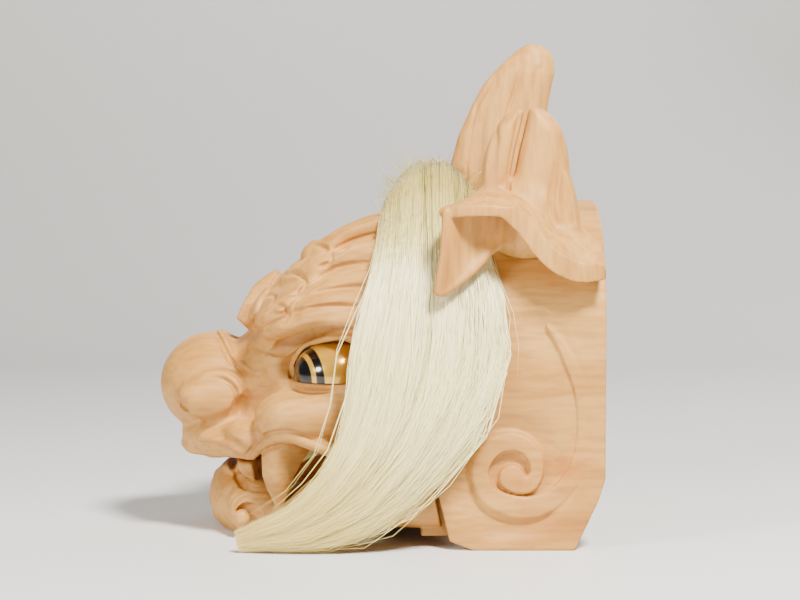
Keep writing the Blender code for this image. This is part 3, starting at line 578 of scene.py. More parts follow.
# %% Brow strands
BROW_STRANDS = [
    # x, y, z, radius in mm
    [(27, -45, 170, 7), (36, -37, 179, 10.5), (45, -20, 189, 11.5), (49, 2, 200, 9), (50, 26, 207, 4)],
    [(30, -58, 157, 7), (41, -52, 165, 11), (60, -30, 176, 11.5), (70, 0, 186, 8.5), (74, 26, 190, 4)],
    [(26, -78, 141, 7), (40, -66, 145, 11), (67, -40, 156, 12.5), (84, -5, 166, 9.5), (90, 24, 168, 4)],
    [(36, -77, 125, 6), (55, -61, 134, 10), (79, -32, 144, 11), (93, -4, 146, 8.5), (99, 22, 146, 4)],
]
for strand in BROW_STRANDS:
    head.add(roll(np.array(strand) * MM), 4 * MM)
BROW_VALLEYS = [
    # y, z, press
    [
        (-82, 133, 0.2), (-70.8, 137.5, 0.8), (-62, 142.6, 1), (-51.2, 148.9, 1), (-40.6, 151.9, 1),
        (-26, 153.2, 1), (-9.8, 152.5, 0.8), (15, 151, 0.3),
    ],
    [
        (-66, 147, 0.2), (-55.6, 148.6, 0.8), (-49.9, 156.5, 1), (-37.6, 161.5, 1), (-19.8, 164.5, 1),
        (-2.3, 165, 0.8), (18, 164, 0.3),
    ],
    [
        (-48, 162, 0.5), (-44.6, 164.4, 1), (-37.8, 168.6, 1), (-27.8, 175.2, 1), (-16.6, 178.6, 1),
        (-2.3, 180, 0.9), (18, 181, 0.3),
    ],
    [(-36, 184, 0.3), (-26.8, 187.5, 1), (-15.6, 193, 1), (-2.5, 197, 0.9), (14, 200, 0.4)],
]
for valley in BROW_VALLEYS:
    groove(head, valley, 11, 3.2, 4)
for valley in BROW_VALLEYS:
    groove(head, valley, 3.2, 1.8, 0.8)
BROW_FLUTES = [
    [(-58, 140, 0), (-44, 145, 1), (-24, 146.5, 1), (0, 145.5, 0.4)],
    [(-50, 152, 0), (-38, 156.5, 1), (-20, 158.5, 1), (2, 158, 0.4)],
    [(-36, 165, 0), (-26, 168.5, 1), (-12, 171.5, 1), (4, 172.5, 0.4)],
    [(-26, 180, 0), (-18, 184.5, 1), (-6, 188, 1), (8, 190, 0.4)],
]
for flute in BROW_FLUTES:
    groove(head, flute, 4.0, 0.9, 1.5)
wood_left(head, "brow strands")

# %% [markdown]
# At the forehead the strands end in curled knobs. Each knob is a few eggs with a groove that winds over
# them, and a small pit at the middle of the curl.

# %% Curls at the forehead
BROW_KNOBS = [
    # centre x, y, z, then half sizes, all in mm
    ((13, -52, 169), (15, 8, 8)),
    ((31, -41, 181), (13, 9, 10)),
    ((32, -52, 165), (12, 8, 9)),
    ((24, -69, 154), (11, 7, 8)),
    ((37, -62, 149), (9, 8, 9)),
]
for centre, half in BROW_KNOBS:
    head.add(egg(np.array(centre) * MM, np.array(half) * MM), 1.5 * MM)
BROW_CURLS = [
    [(-59.5, 170.5, 0.3), (-53.2, 172.3, 1), (-47.6, 170, 1), (-45.2, 166, 1), (-48.1, 161, 1), (-53, 160, 0.5)],
    [(-76.1, 150, 0.4), (-74.4, 155.4, 1), (-69.8, 157.6, 1), (-65.7, 156.8, 1), (-66.5, 153, 0.6)],
    [(-40, 190, 0.4), (-35.9, 189.2, 1), (-31.7, 187.2, 1), (-28.6, 183.5, 1), (-31, 178.5, 1), (-36, 177, 0.5)],
    [(-69, 147, 0.3), (-63, 153, 1), (-57.5, 151, 1), (-56, 146, 0.8), (-59, 142, 0.4)],
]
for curl in BROW_CURLS:
    groove(head, curl, 3.4, 2.0, 1.0)
CURL_PITS = [(36, -45.8, 167.5, 2.6), (29, -70.0, 156.4, 1.9), (38, -30.0, 186.4, 2.4), (45, -28.0, 178.6, 2.4)]
for x, y, z, radius in CURL_PITS:
    head.carve(egg(np.array((x, y, z)) * MM, np.array((radius * 2.6, radius, radius)) * MM, 0, 20), 1.2 * MM)
wood_left(head, "forehead curls")

# %% [markdown]
# The jewel is a drop that stands on the middle of the brow. In the side view it has a straight front, a
# sharp tip below and a notch behind. It is an outline pushed across the face, with its sides drawn in.

# %% The jewel at the middle of the brow
JEWEL_OUTLINE = [
    (-93.8, 140), (-88.4, 151.2), (-82.2, 162), (-75.5, 167.4), (-67.3, 172.2), (-62, 168), (-64, 156),
    (-74, 134), (-83.5, 129.5),
]


def jewel():
    flat, low, high = outline(np.array(JEWEL_OUTLINE) * MM, -1.0, 1.0)

    def distance(x, y, z):
        width = np.interp(z, [0.129, 0.137, 0.150, 0.162, 0.172], [0.011, 0.018, 0.021, 0.017, 0.007])
        return -soft_min(-flat(x, y, z), -(np.abs(x) - width), 0.003)

    return distance, np.array((-0.022, low[1], low[2])), np.array((0.022, high[1], high[2]))


head.add(jewel(), 0.6 * MM)
groove(head, [
    (-62.5, 172, 0.3), (-67, 167, 0.8), (-71, 160, 1), (-76, 151, 1), (-79.5, 142, 1), (-82.5, 132, 0.6),
], 3.6, 1.8, 0.8)
wood_left(head, "jewel")

# %% [markdown]
# The nose is a bulb with a ball on each side. A sharp groove and a thin ridge behind it run over the bulb's
# back like a collar, and a fine rim follows each ball. The nostril is a short slot in front of the ball.

# %% Nose
COLLAR = [
    # x, y, z of the sharp groove, in mm
    (0, -109.6, 130.5),
    (8, -108.2, 128.6),
    (16, -106.0, 124.8),
    (26, -102.2, 119.4),
    (34, -97.8, 115.0),
    (40, -92.6, 110.9),
    (45, -87.0, 106.4),
    (49, -81.5, 102.8),
]
collar = smooth_route(np.array(COLLAR), 4) * MM
NOSE_MIDDLE = np.array((0, -0.1105, 0.0959))
collar_facing = unit_rows(collar - NOSE_MIDDLE)
behind = np.array((0, 0.0030, 0.0010))
fade = np.clip((len(collar) - np.arange(len(collar))) / 7, 0.25, 1)


def near_surface(points, facing):
    """Slides points along a given way until they lie on the wood."""
    found = points.copy()
    for _ in range(8):
        found = found - np.clip(field_at(head, found), -0.003, 0.003)[:, None] * facing
    return found


ridge_line = near_surface(collar + behind, collar_facing)
head.add(roll(np.column_stack([ridge_line - collar_facing * 0.0006, 0.0026 * fade]), 1), 1.6 * MM)
groove_line = near_surface(collar, collar_facing)
head.carve(roll(np.column_stack([groove_line + collar_facing * 0.0002, 0.0019 * fade]), 1), 0.4 * MM)
head.add(egg((0.047, -0.104, 0.092), (0.011, 0.021, 0.0165), -6), 5 * MM)
head.add(egg((0.0415, -0.1105, 0.0905), (0.0175, 0.0205, 0.0150), -10), 2.5 * MM)
WING_RIM = [
    (-112, 106.2, 0.1), (-107.3, 107.0, 0.7), (-100.5, 106.0, 1), (-94.4, 102.8, 1), (-89.8, 98, 1),
    (-88.0, 92.1, 1), (-87.6, 86.0, 1), (-88.6, 80.5, 0.8), (-91, 75.5, 0.3),
]
WING_EDGE = [
    (-112, 104, 0.1), (-106, 103.6, 0.6), (-99, 102.4, 1), (-94, 99.2, 1), (-91.6, 95, 1), (-90.8, 90, 1),
    (-91.4, 84.5, 1), (-94, 79.5, 0.5),
]
bead(head, WING_RIM, 3.8, 1.7, 1.2)
groove(head, WING_EDGE, 3.4, 1.9, 0.7)
groove(head, [
    (-118, 77.5, 0.3), (-112, 75.5, 1), (-104.5, 76.5, 1), (-97, 79.5, 1), (-88, 84, 0.8), (-83, 92, 0.5),
], 6, 1.8, 3)
trench(head, [
    (-131, 86.6, 1.0, 1.0), (-128.8, 85.2, 2.4, 6.0), (-125, 82.4, 2.3, 5.4), (-121.5, 79.4, 1.0, 0.8),
], 0.3)
wood_left(head, "nose")

# %% [markdown]
# ## Eye recess, cheeks and lips
#
# The recess is cut under the brow so the eye can bulge out of it between a thin lid above and the flat top
# of the cheek below.

# %% Eye recess and lid
EYE_AT = np.array((0.600 * HALF_WIDTH, -0.083 * HEAD_LENGTH, 0.490 * CROWN_HEIGHT))
EYE_HALF = np.array((0.027, 0.029, 0.023))
EYE_TURN = math.radians(18)
EYE_SEAT = 0.472 * CROWN_HEIGHT
head.carve(egg((0.088, -0.040, 0.114), (0.033, 0.036, 0.0175), -8, 14), 9 * MM)
head.add(egg((0.060, -0.026, 0.107), (0.028, 0.029, 0.0245), 0, 18), 2 * MM)
RECESS = [
    # y, z, half width, depth
    (-77, 121.6, 0.4, 0.3),
    (-70, 120.9, 1.6, 1.6),
    (-64, 122.2, 4.2, 5.5),
    (-57, 125.8, 6.8, 9.5),
    (-50, 129.4, 6.8, 11.0),
    (-42, 133.0, 5.6, 10.5),
    (-33, 135.6, 4.2, 9.0),
    (-22, 137.0, 3.0, 6.5),
    (-8, 137.4, 2.0, 3.0),
    (6, 137.0, 1.0, 1.0),
]
trench(head, RECESS, 0.4)
UPPER_LID = [
    (54, -53.5, 106, 0.9), (59, -53.0, 114, 1.4), (64, -50.0, 121, 1.7), (70, -44.5, 126.3, 1.9),
    (78, -36, 129.8, 1.9), (87, -25, 132.4, 1.8), (96, -10, 134, 1.5),
]
head.add(roll(np.array(UPPER_LID) * MM), 1.2 * MM)
cheek_top = outline([(-0.056, EYE_SEAT), (0.006, EYE_SEAT), (0.006, 0.110), (-0.056, 0.110)], 0.060, 0.13)
head.carve(cheek_top, 1.5 * MM)
CHEEK_RIM = [
    (60, -57, 99.5, 1.6), (70, -52, 101.5, 2.0), (80, -43, 102.0, 2.2), (89, -28, 102.0, 2.4),
    (95, -12, 101.0, 2.4), (98, 2, 99, 2.0),
]
head.add(roll(np.array(CHEEK_RIM) * MM), 3 * MM)
head.carve(cheek_top, 0.6 * MM)
CHEEK_FRONT = [(-84, 77, 3, 0.5), (-80, 84, 4.5, 1.6), (-74, 92, 4.5, 1.8), (-66, 98.5, 4, 1.4), (-57, 102, 2.5, 0.6)]
trench(head, CHEEK_FRONT, 3)
wood_left(head, "eye recess and cheek")

# %% [markdown]
# The lip is a roll along the edge of the mouth, which rises over the fang, with a flat band on it, a groove
# above the band and a finer ridge towards the nose. Lines on the surface give these fine forms, because
# they stay the same height above the wood wherever the cheek bulges.

# %% Lips
LIP_EDGE = [
    # x, y, z, radius in mm
    (0, -127.5, 55, 5.2),
    (20, -122.5, 54.5, 5.0),
    (36, -111.5, 55, 4.6),
    (50, -95, 55, 4.2),
    (58, -85.5, 54.8, 4.0),
    (64, -80.5, 56, 4.0),
    (71, -74.5, 61.5, 4.2),
    (78, -67, 66.4, 4.4),
    (85, -57.5, 68.4, 4.6),
    (91, -47, 67.4, 4.6),
    (96, -36, 64.6, 4.4),
    (100, -24, 61.0, 4.2),
    (104, -6, 57.0, 3.4),
    (106, 6, 55, 2.4),
]
head.add(egg((0, -0.117, 0.062), (0.030, 0.0145, 0.0135)), 4 * MM)
head.add(roll(np.array(LIP_EDGE) * MM), 2.0 * MM)
LIP_BAND = [
    (-84.5, 53.6, 0.4), (-80.3, 53.4, 0.8), (-75.2, 60.0, 1), (-70.4, 64.6, 1), (-64.5, 67.4, 1),
    (-55.0, 68.6, 1), (-46.0, 67.2, 1), (-36.5, 64.2, 1), (-24, 60.5, 0.9), (-6, 57, 0.5),
]
bead(head, LIP_BAND, 7.2, 2.0, 1.0)
EDGE_GROOVE = [
    (-84.5, 54.5, 0.2), (-81.6, 57.2, 0.9), (-79.0, 61.0, 1), (-75.9, 65.0, 1), (-72.0, 68.6, 1),
    (-67.2, 71.4, 1), (-60.6, 73.2, 1), (-52.6, 73.2, 1), (-44.1, 71.1, 1), (-35.1, 68.0, 1), (-22, 64.4, 0.6),
]
groove(head, EDGE_GROOVE, 2.8, 2.0, 0.5)
LIP_RIDGE = [
    (-119, 62, 0.2), (-113.4, 63, 0.9), (-107.4, 63.4, 1), (-100.8, 62.6, 1), (-95.3, 60.2, 1),
    (-89.2, 57.4, 0.9), (-83, 55.5, 0.3),
]
bead(head, LIP_RIDGE, 4.2, 1.4, 1.2)
trench(head, [
    (-121, 59.5, 1.5, 0.4), (-113, 59.2, 2.4, 1.5), (-105, 58.8, 2.4, 1.6), (-97, 56.6, 2.0, 1.2),
    (-90, 54, 1, 0.3),
], 1.5)
trench(head, [
    (-112, 67.5, 1.5, 0.3), (-104, 68, 2.5, 1.0), (-96, 66, 2.5, 1.2), (-89, 62.5, 2.0, 1.0), (-84, 60, 1, 0.3),
], 2)
wood_left(head, "lips")

# %% [markdown]
# The mouth is the line where the upper head ends and the jaw begins. A carver saws along it, so it is one
# outline in the side view, pushed through the whole width. The jaw uses the same rows a little lower.

# %% Mouth line
MOUTH_LINE = [
    # along, up
    (0.214, -0.060),
    (0.214, 0.000),
    (0.162, 0.025),
    (0.114, 0.282),
    (0.052, 0.273),
    (-0.041, 0.247),
    (-0.105, 0.262),
    (-0.150, 0.284),
    (-0.177, 0.294),
    (-0.212, 0.291),
    (-0.235, 0.281),
    (-0.253, 0.261),
    (-0.272, 0.236),
    (-0.326, 0.2315),
    (-0.410, 0.207),
    (-0.600, 0.195),
    (-0.600, -0.060),
]


def side_cut(rows):
    """An outline through the whole width, from rows of along and up."""
    return outline([(along * HEAD_LENGTH, up * CROWN_HEIGHT) for along, up in rows], -1, 1)


head.carve(side_cut(MOUTH_LINE), 0.6 * MM)
wood_left(head, "mouth line")

# %% [markdown]
# The fang is one long tooth that hangs from the lip over the jaw. Its outline changes with the height and a
# ridge runs down its outer side, so three columns of numbers give the edges and the ridge at each height.
# An egg would be simpler, but it would lose the flat faces and the sharp tip.

# %% Fang
def fang():
    """A long tooth with a ridge down its outer side: at each height, a front and a back edge and a ridge."""
    heights = np.array((18.5, 21.5, 27.5, 33.5, 43.0, 54.0, 66.0, 72.0)) * MM
    front = np.array((-62.8, -64.2, -66.6, -69.6, -72.8, -73.2, -73.0, -73.0)) * MM
    rear = np.array((-61.2, -59.8, -57.6, -55.4, -51.8, -46.0, -38.0, -34.0)) * MM
    outer = np.array((77.5, 78.5, 80.5, 82.5, 85.0, 87.0, 88.0, 88.0)) * MM

    def distance(x, y, z):
        a, b, c = (np.interp(z, heights, values) for values in (front, rear, outer))
        spine = a + (b - a) * 0.40
        face = np.where(y < spine, (spine - y) / (spine - a), (y - spine) / (b - spine))
        shoulder = np.interp(y, np.array((-73.5, -66, -54.5, -40)) * MM, np.array((54.5, 59.5, 63.0, 63.5)) * MM)
        sides = c - 0.0050 * np.clip(face, 0, 3) ** 1.5 * (b - a) / 0.018 - 1.3 * np.maximum(z - shoulder, 0)
        inner = 0.0695 - x
        return np.maximum(np.maximum(np.maximum(a - y, y - b), x - sides), np.maximum(inner, heights[0] - z)) * 0.6

    return distance, np.array((0.068, front.min(), heights[0])), np.array((0.089, rear.max(), heights[-1]))


head.add(fang(), 1.0 * MM)
wood_left(head, "fang")

# %% [markdown]
# ## Side walls
#
# Each side wall carries one spiral in relief. Its tail starts high on the wall, runs down beside the rear
# rim and winds in to a flat button. The wall is flat there, so the relief can be a map of heights: the
# ground is sunk into a basin, and a band along the spiral is left standing up to the wall's face. The
# band's inner side drops steeply and its outer side slopes, widest below and in front of the loop.

# %% Spiral
SPIRAL = [
    # y, z and half width of the band in mm
    (108.0, 141.5, 0.3), (114.2, 133.1, 1.2), (121.4, 119.6, 2.2), (127.6, 104.1, 2.7), (130.2, 90.6, 2.9),
    (130.9, 77.1, 2.9), (129.2, 62.5, 3.1), (125.1, 50.1, 3.5), (117.3, 38.7, 4.3), (107.9, 30.9, 5.2),
    (97.6, 27.6, 5.8), (87.3, 28.3, 6.0), (77.5, 31.9, 5.2), (70.5, 37.4, 4.6), (66.5, 48.6, 4.2),
    (69.7, 58.9, 4.3), (76.0, 65.7, 4.5), (85.2, 68.5, 4.6), (93.2, 66.4, 4.3), (98.8, 61.0, 4.0),
    (101.5, 52.9, 3.6), (100.0, 45.4, 3.6), (95.6, 41.3, 4.2), (89.8, 42.6, 6.0), (86.0, 46.2, 7.4),
]
OUTER_SLOPE = np.array((2.2, 2.6, 3.5, 5.0, 6.8, 5.0, 2.6, 1.5)) * MM
SLOPE_AT = (0, 7, 9, 11, 14, 16, 19, 24)
INNER_SLOPE = 1.4 * MM
LOOP_DEPTH = 5.0 * MM
band = smooth_route(SPIRAL, 4)
band_y, band_z, band_half = band[:, 0] * MM, band[:, 1] * MM, band[:, 2] * MM


def wall_relief(y, z):
    """Height of the carved wall against its flat face, in metres and never above it."""
    stands = np.zeros(np.broadcast(y, z).shape)
    nearest = np.full(stands.shape, 1.0)
    for i in range(len(band) - 1):
        ey, ez = band_y[i + 1] - band_y[i], band_z[i + 1] - band_z[i]
        t = np.clip(((y - band_y[i]) * ey + (z - band_z[i]) * ez) / (ey * ey + ez * ez), 0, 1)
        off_y, off_z = y - band_y[i] - t * ey, z - band_z[i] - t * ez
        gap = np.hypot(off_y, off_z)
        towards_middle = (off_y * ez - off_z * ey) > 0
        edge = np.where(towards_middle, INNER_SLOPE, np.interp(i / 4, SLOPE_AT, OUTER_SLOPE))
        share = np.clip((gap - band_half[i] * (1 - t) - band_half[i + 1] * t) / edge, 0, 1)
        stands = np.maximum(stands, 1 - share * share * (3 - 2 * share))
        nearest = np.minimum(nearest, gap)
    loop = np.exp(-((np.hypot(y - 0.084, z - 0.047) / 0.036) ** 6))
    tail_side = np.interp(z, band_z[:36][::-1], band_y[:36][::-1])
    inside = np.clip((tail_side - y) / 0.004 + 0.5, 0, 1)
    beside_tail = 0.0030 * np.exp(-((nearest / 0.018) ** 2)) * inside
    beside_tail = beside_tail + 0.0022 * np.exp(-((nearest / 0.008) ** 2)) * (1 - inside)
    return -(LOOP_DEPTH * loop + beside_tail * (1 - loop)) * (1 - stands)


def wall_field():
    low, high = np.array((HALF_WIDTH - 0.005, 0.030, 0.004)), np.array((HALF_WIDTH + 0.004, 0.149, 0.156))

    def distance(x, y, z):
        margin = np.minimum(np.minimum(y - low[1], high[1] - y), np.minimum(z - low[2], high[2] - z))
        fade = np.clip(margin / 0.006, 0, 1)
        return HALF_WIDTH + wall_relief(y, z) * fade - x + (fade <= 0)

    return distance, low, high


head.carve(wall_field(), 0.3 * MM)
wood_left(head, "spirals")

# %% [markdown]
# ## Hollow and flat cuts
#
# The head is hollow behind the face for the dancer's hands, open below and at the rear. The feet and the
# rear rim are sawn flat. The sockets for the jaw's dowel and the eyes are cut last. The ear pegs and the
# horn's tenon simply sink into the solid crown, since their sockets would be hidden.

# %% Hollow the head and cut its flats
HOLLOW_SECTIONS = [
    # along, aside, shoulder, crown; WALL is taken off
    (0.560, 0.985, 0.600, 0.991),
    (0.345, 1.000, 0.600, 1.000),
    (0.140, 1.000, 0.560, 0.960),
    (0.075, 0.930, 0.520, 0.900),
    (-0.010, 0.600, 0.480, 0.800),
    (-0.100, 0.460, 0.420, 0.640),
]
PALATE_SECTIONS = [
    # along, half width, low, roof
    (0.160, 0.866, -0.15, 0.420),
    (0.000, 0.790, -0.15, 0.400),
    (-0.105, 0.640, -0.15, 0.360),
    (-0.200, 0.500, -0.15, 0.325),
    (-0.300, 0.360, -0.15, 0.295),
    (-0.375, 0.240, -0.15, 0.265),
]
REAR_CUT = [(0.434, -0.1), (0.434, 0.0), (0.486, 0.145), (0.5, 0.205), (0.5, 1.4), (0.7, 1.4), (0.7, -0.1)]
head.carve(vault(HOLLOW_SECTIONS, -WALL, -0.03, -0.100 * HEAD_LENGTH, 0.560 * HEAD_LENGTH), 4 * MM)
head.carve(trough(PALATE_SECTIONS), 2 * MM)
head.carve(side_cut(REAR_CUT), 0.8 * MM)
below_floor = outline([(-0.2, -0.05), (0.2, -0.05), (0.2, 0.0), (-0.2, 0.0)], -1, 1)
head.carve(below_floor, 0.8 * MM)


def cylinder(start, end, radius):
    """A plain round bar with flat ends."""
    a, b = np.array(start, float), np.array(end, float)
    along = (b - a) / np.linalg.norm(b - a)
    length = np.linalg.norm(b - a)

    def distance(x, y, z):
        offset = (x - a[0], y - a[1], z - a[2])
        t = sum(along[i] * offset[i] for i in range(3))
        off_axis = np.sqrt(np.maximum(sum(p * p for p in offset) - t * t, 0)) - radius
        return np.maximum(off_axis, np.maximum(-t, t - length))

    return distance, np.minimum(a, b) - radius, np.maximum(a, b) + radius


AXLE = place(0.190, 0, 0.075)
inner_face = HALF_WIDTH - WALL
AXLE_HOLE_RADIUS = 0.0063


def axle_hole(low_x, high_x):
    return cylinder((low_x, AXLE[1], AXLE[2]), (high_x, AXLE[1], AXLE[2]), AXLE_HOLE_RADIUS)


head.carve(axle_hole(inner_face - 0.01, inner_face + 0.008), 0)
EYE_BACK_TURN = EYE_TURN + 0.5
EYE_BACK_DEPTH = 0.008
SEAT_GAP = 0.0006
eye_back = np.array((math.cos(EYE_BACK_TURN), -math.sin(EYE_BACK_TURN), 0.0))


def eye_form(growth):
    whole, low, high = egg(EYE_AT, EYE_HALF + growth, 0, math.degrees(EYE_TURN))

    def distance(x, y, z):
        behind = -(eye_back[0] * (x - EYE_AT[0]) + eye_back[1] * (y - EYE_AT[1])) - EYE_BACK_DEPTH - growth
        return np.maximum(np.maximum(whole(x, y, z), behind), EYE_SEAT - growth - z)

    return distance, low, high


head.carve(eye_form(SEAT_GAP), 0)
carved_head = skinned("carved_head", head, 195000, True)

# %% [markdown]
# ## The lower jaw
#
# The jaw is a tray with a rounded chin and two flat arms that reach back to the dowel. It is carved from a
# block of its own, because it swings. Its outline in the side view follows the mouth line of the upper
# head a little inside it, which leaves the dark slit that shows in the photograph.

# %% Carve the jaw
JAW_SECTIONS = [
    # along, half width, floor, rim
    (0.170, 0.985, 0.034, 0.300),
    (0.052, 0.955, 0.036, 0.280),
    (-0.041, 0.880, 0.034, 0.252),
    (-0.110, 0.800, 0.030, 0.190),
    (-0.165, 0.715, 0.022, 0.170),
    (-0.228, 0.600, 0.010, 0.120),
    (-0.276, 0.500, -0.010, 0.150),
    (-0.330, 0.360, -0.020, 0.175),
    (-0.372, 0.180, 0.030, 0.150),
]
MOUTH_SLIT = 0.008
JAW_LINE = [(0.149, -0.100), (0.149, 0.030), (0.122, 0.200), (0.103, 0.273)]
JAW_LINE += [(along, up - MOUTH_SLIT) for along, up in MOUTH_LINE[4:-1]]
JAW_LINE += [(-0.600, -0.100)]
TRAY_SECTIONS = [
    # along, half width, floor, open top
    (0.260, 0.720, 0.085, 0.6),
    (0.060, 0.720, 0.085, 0.6),
    (-0.060, 0.640, 0.088, 0.6),
    (-0.160, 0.500, 0.092, 0.6),
    (-0.240, 0.330, 0.100, 0.6),
    (-0.285, 0.170, 0.120, 0.6),
]
ARM_THICKNESS = 0.012
ARM_GAP = 0.0012
JAW_LIP = [(0, -99.5, 36.0, 6.0), (18, -97.5, 38, 5.6), (30, -94.0, 40, 4.6), (38, -91.5, 41.5, 3.6)]
LOWER_TOOTH = [(-91.6, 49), (-90.2, 42), (-86.8, 38.4), (-77.0, 33.0), (-79.0, 44.5), (-80.5, 49)]
jaw = Block((0.0, -0.116, -0.004), (0.112, 0.070, 0.064), 0.0009)
jaw.add(trough(JAW_SECTIONS), 0)
jaw.add(egg(place(-0.312, 0, 0.092), half_sizes(0.079, 0.420, 0.112)), 6 * MM)
jaw.add(egg(place(-0.330, 0.130, 0.130), half_sizes(0.040, 0.240, 0.040), -12), 4 * MM)
jaw.add(egg(place(-0.275, 0.360, 0.080), half_sizes(0.060, 0.170, 0.085)), 6 * MM)
jaw.add(roll(np.array(JAW_LIP) * MM), 2 * MM)
jaw.add(egg((0.052, -0.078, 0.018), (0.013, 0.019, 0.018)), 5 * MM)
JAW_GROOVE = [
    (-97.5, 48, 2.4, 3.0), (-95.4, 42.5, 2.6, 3.6), (-91.6, 37.0, 2.8, 4.0), (-85.6, 33.2, 2.8, 3.6),
    (-77.0, 31.4, 2.4, 3.0), (-69.0, 31.2, 1.8, 1.6), (-62, 32, 1, 0.5),
]
trench(jaw, JAW_GROOVE, 0.9)
jaw.add(padded(np.array(LOWER_TOOTH) * MM, 0.040, 0.0135, 0.0018), 0.4 * MM)
CURL_AT = np.array([[0.0, -0.0829, 0.0137]])
curl_spot, curl_facing = (rows[0] for rows in laid_on(jaw, CURL_AT, 0))
curl_facing = curl_facing + np.array((1.0, -0.3, 0))
curl_facing /= np.linalg.norm(curl_facing)
CURL_RIM = [
    (-94.0, 13.5, 0.3), (-93.6, 19.5, 0.9), (-90.4, 24.6, 1), (-85.4, 27.9, 1), (-79.0, 29.2, 0.9),
    (-70.5, 28.6, 0.4),
]
bead(jaw, CURL_RIM, 3.4, 1.1, 1.0)
groove(jaw, [
    (-92.4, 15.5, 0.4), (-91.6, 19.5, 1), (-88.8, 23.2, 1), (-84.4, 25.9, 1), (-78.4, 27.0, 0.8),
    (-71, 26.4, 0.3),
], 2.2, 0.8, 0.6)
jaw.carve(cylinder(curl_spot - curl_facing * 0.0052, curl_spot + curl_facing * 0.012, 0.0096), 0.6 * MM)
jaw.add(egg(curl_spot + np.array((-0.0012, -0.0044, -0.0006)), (0.0062, 0.0053, 0.0056)), 0.6 * MM)
keep_line = side_cut(JAW_LINE)[0]
jaw.field = -soft_min(-jaw.field, -keep_line(*jaw.window(jaw.low, jaw.low + 1)[1]), 1.0 * MM)
jaw.carve(trough(TRAY_SECTIONS), 2 * MM)
outer = HALF_WIDTH - WALL - ARM_GAP
arm_view = [(0.100, 0.030), (0.228, 0.030), (0.228, 0.140), (0.100, 0.140)]
arm_corners = [(along * HEAD_LENGTH, up * CROWN_HEIGHT) for along, up in arm_view]
jaw.add(outline(arm_corners, outer - ARM_THICKNESS, outer, 1.5 * MM), 1 * MM)
jaw.carve(below_floor, 0.8 * MM)
jaw.carve(axle_hole(outer - 0.03, outer + 0.02), 0)
carved_jaw = skinned("carved_jaw", jaw, 70000, True)

# %% [markdown]
# ## Ears
#
# An ear is a pair of tall lobes with a dark slit between them and a small leaf behind. A skirt flares from
# their root over the wall, with a flat sawn rim, and a pointed flap hangs at its front like a scoop. The
# lobes are padded outlines. The skirt and the flap are laid out as small sheets and given their thickness.

# %% Ear sheets
def sheet(rows, thickness, steps=4):
    """A plate through a grid of points in mm, curved smoothly both ways, as a form for the block."""
    down = np.array([smooth_route(column, steps) for column in np.swapaxes(np.array(rows) * MM, 0, 1)])
    grid = np.array([smooth_route(row, steps) for row in np.swapaxes(down, 0, 1)])
    high, wide = grid.shape[:2]
    points = [Vector(p) for p in grid.reshape(-1, 3)]
    faces = []
    for i in range(high - 1):
        for j in range(wide - 1):
            faces.append((i * wide + j, i * wide + j + 1, (i + 1) * wide + j + 1, (i + 1) * wide + j))
    tree = BVHTree.FromPolygons(points, faces)
    reach = 0.008

    def distance(x, y, z):
        x, y, z = np.broadcast_arrays(x, y, z)
        found = np.empty(x.size)
        for i, point in enumerate(zip(x.ravel(), y.ravel(), z.ravel())):
            found[i] = tree.find_nearest(point, thickness + reach)[3] or thickness + reach
        return found.reshape(x.shape) - thickness / 2

    return distance, grid.min(axis=(0, 1)) - thickness / 2, grid.max(axis=(0, 1)) + thickness / 2
print("flat sheet test", sheet([[(0, 0, 0), (0, 9, 0)], [(0, 0, 9), (0, 9, 9)]], 0.002)[2].round(4).tolist())

# %% [markdown]
# The skirt is given by rows of three points across it, the flap by rows of four, and each lobe by its
# outline in the side view with its thickness. Lengths and heights were read from the side view, and how far
# each form stands out from the wall is a guess.

# %% The ear's own numbers
EAR_SKIRT = [
    # inner point, middle point and rim point: x, y, z in mm
    ((103, 50, 213), (115, 46, 214), (125, 42.8, 213.2)),
    ((98, 61, 220), (117, 56, 217), (131, 54, 213.4)),
    ((96, 70, 225), (117, 66, 219.5), (133, 64, 213.8)),
    ((95, 80, 226), (116, 77, 220), (133, 75, 213.6)),
    ((95, 90, 225), (115, 87, 218), (132.5, 84.5, 211)),
    ((95, 100, 220), (114, 97, 210), (131.5, 93, 202.5)),
    ((97, 110, 213), (114, 108, 200), (130.5, 102, 190.5)),
    ((99, 120, 206), (115, 119, 191), (129.5, 111.8, 181)),
    ((101, 130, 199), (115, 129, 185), (128, 123, 175.5)),
    ((103, 137, 193), (114, 136, 182), (126, 133, 174.5)),
    ((104, 141, 190), (113, 141, 181), (122, 140, 175.5)),
]
EAR_FLAP = [
    # rows from the skirt down to the tip: from the front edge to the rear one
    ((126, 44, 213), (119, 56, 213), (112, 72, 211), (107, 90, 204)),
    ((127.5, 43.5, 199), (119, 55, 199), (112, 68, 198), (109, 85, 197)),
    ((128, 42.5, 186), (120.5, 52, 186), (115.5, 62, 186.5), (113.5, 72, 188.5)),
    ((128, 40.5, 175), (123.5, 48, 175), (120.5, 55, 175.5), (119, 61.5, 177.5)),
    ((127, 38.8, 164), (126.6, 40.3, 163.4), (126.2, 42.0, 163.4), (125.8, 44.0, 164)),
]
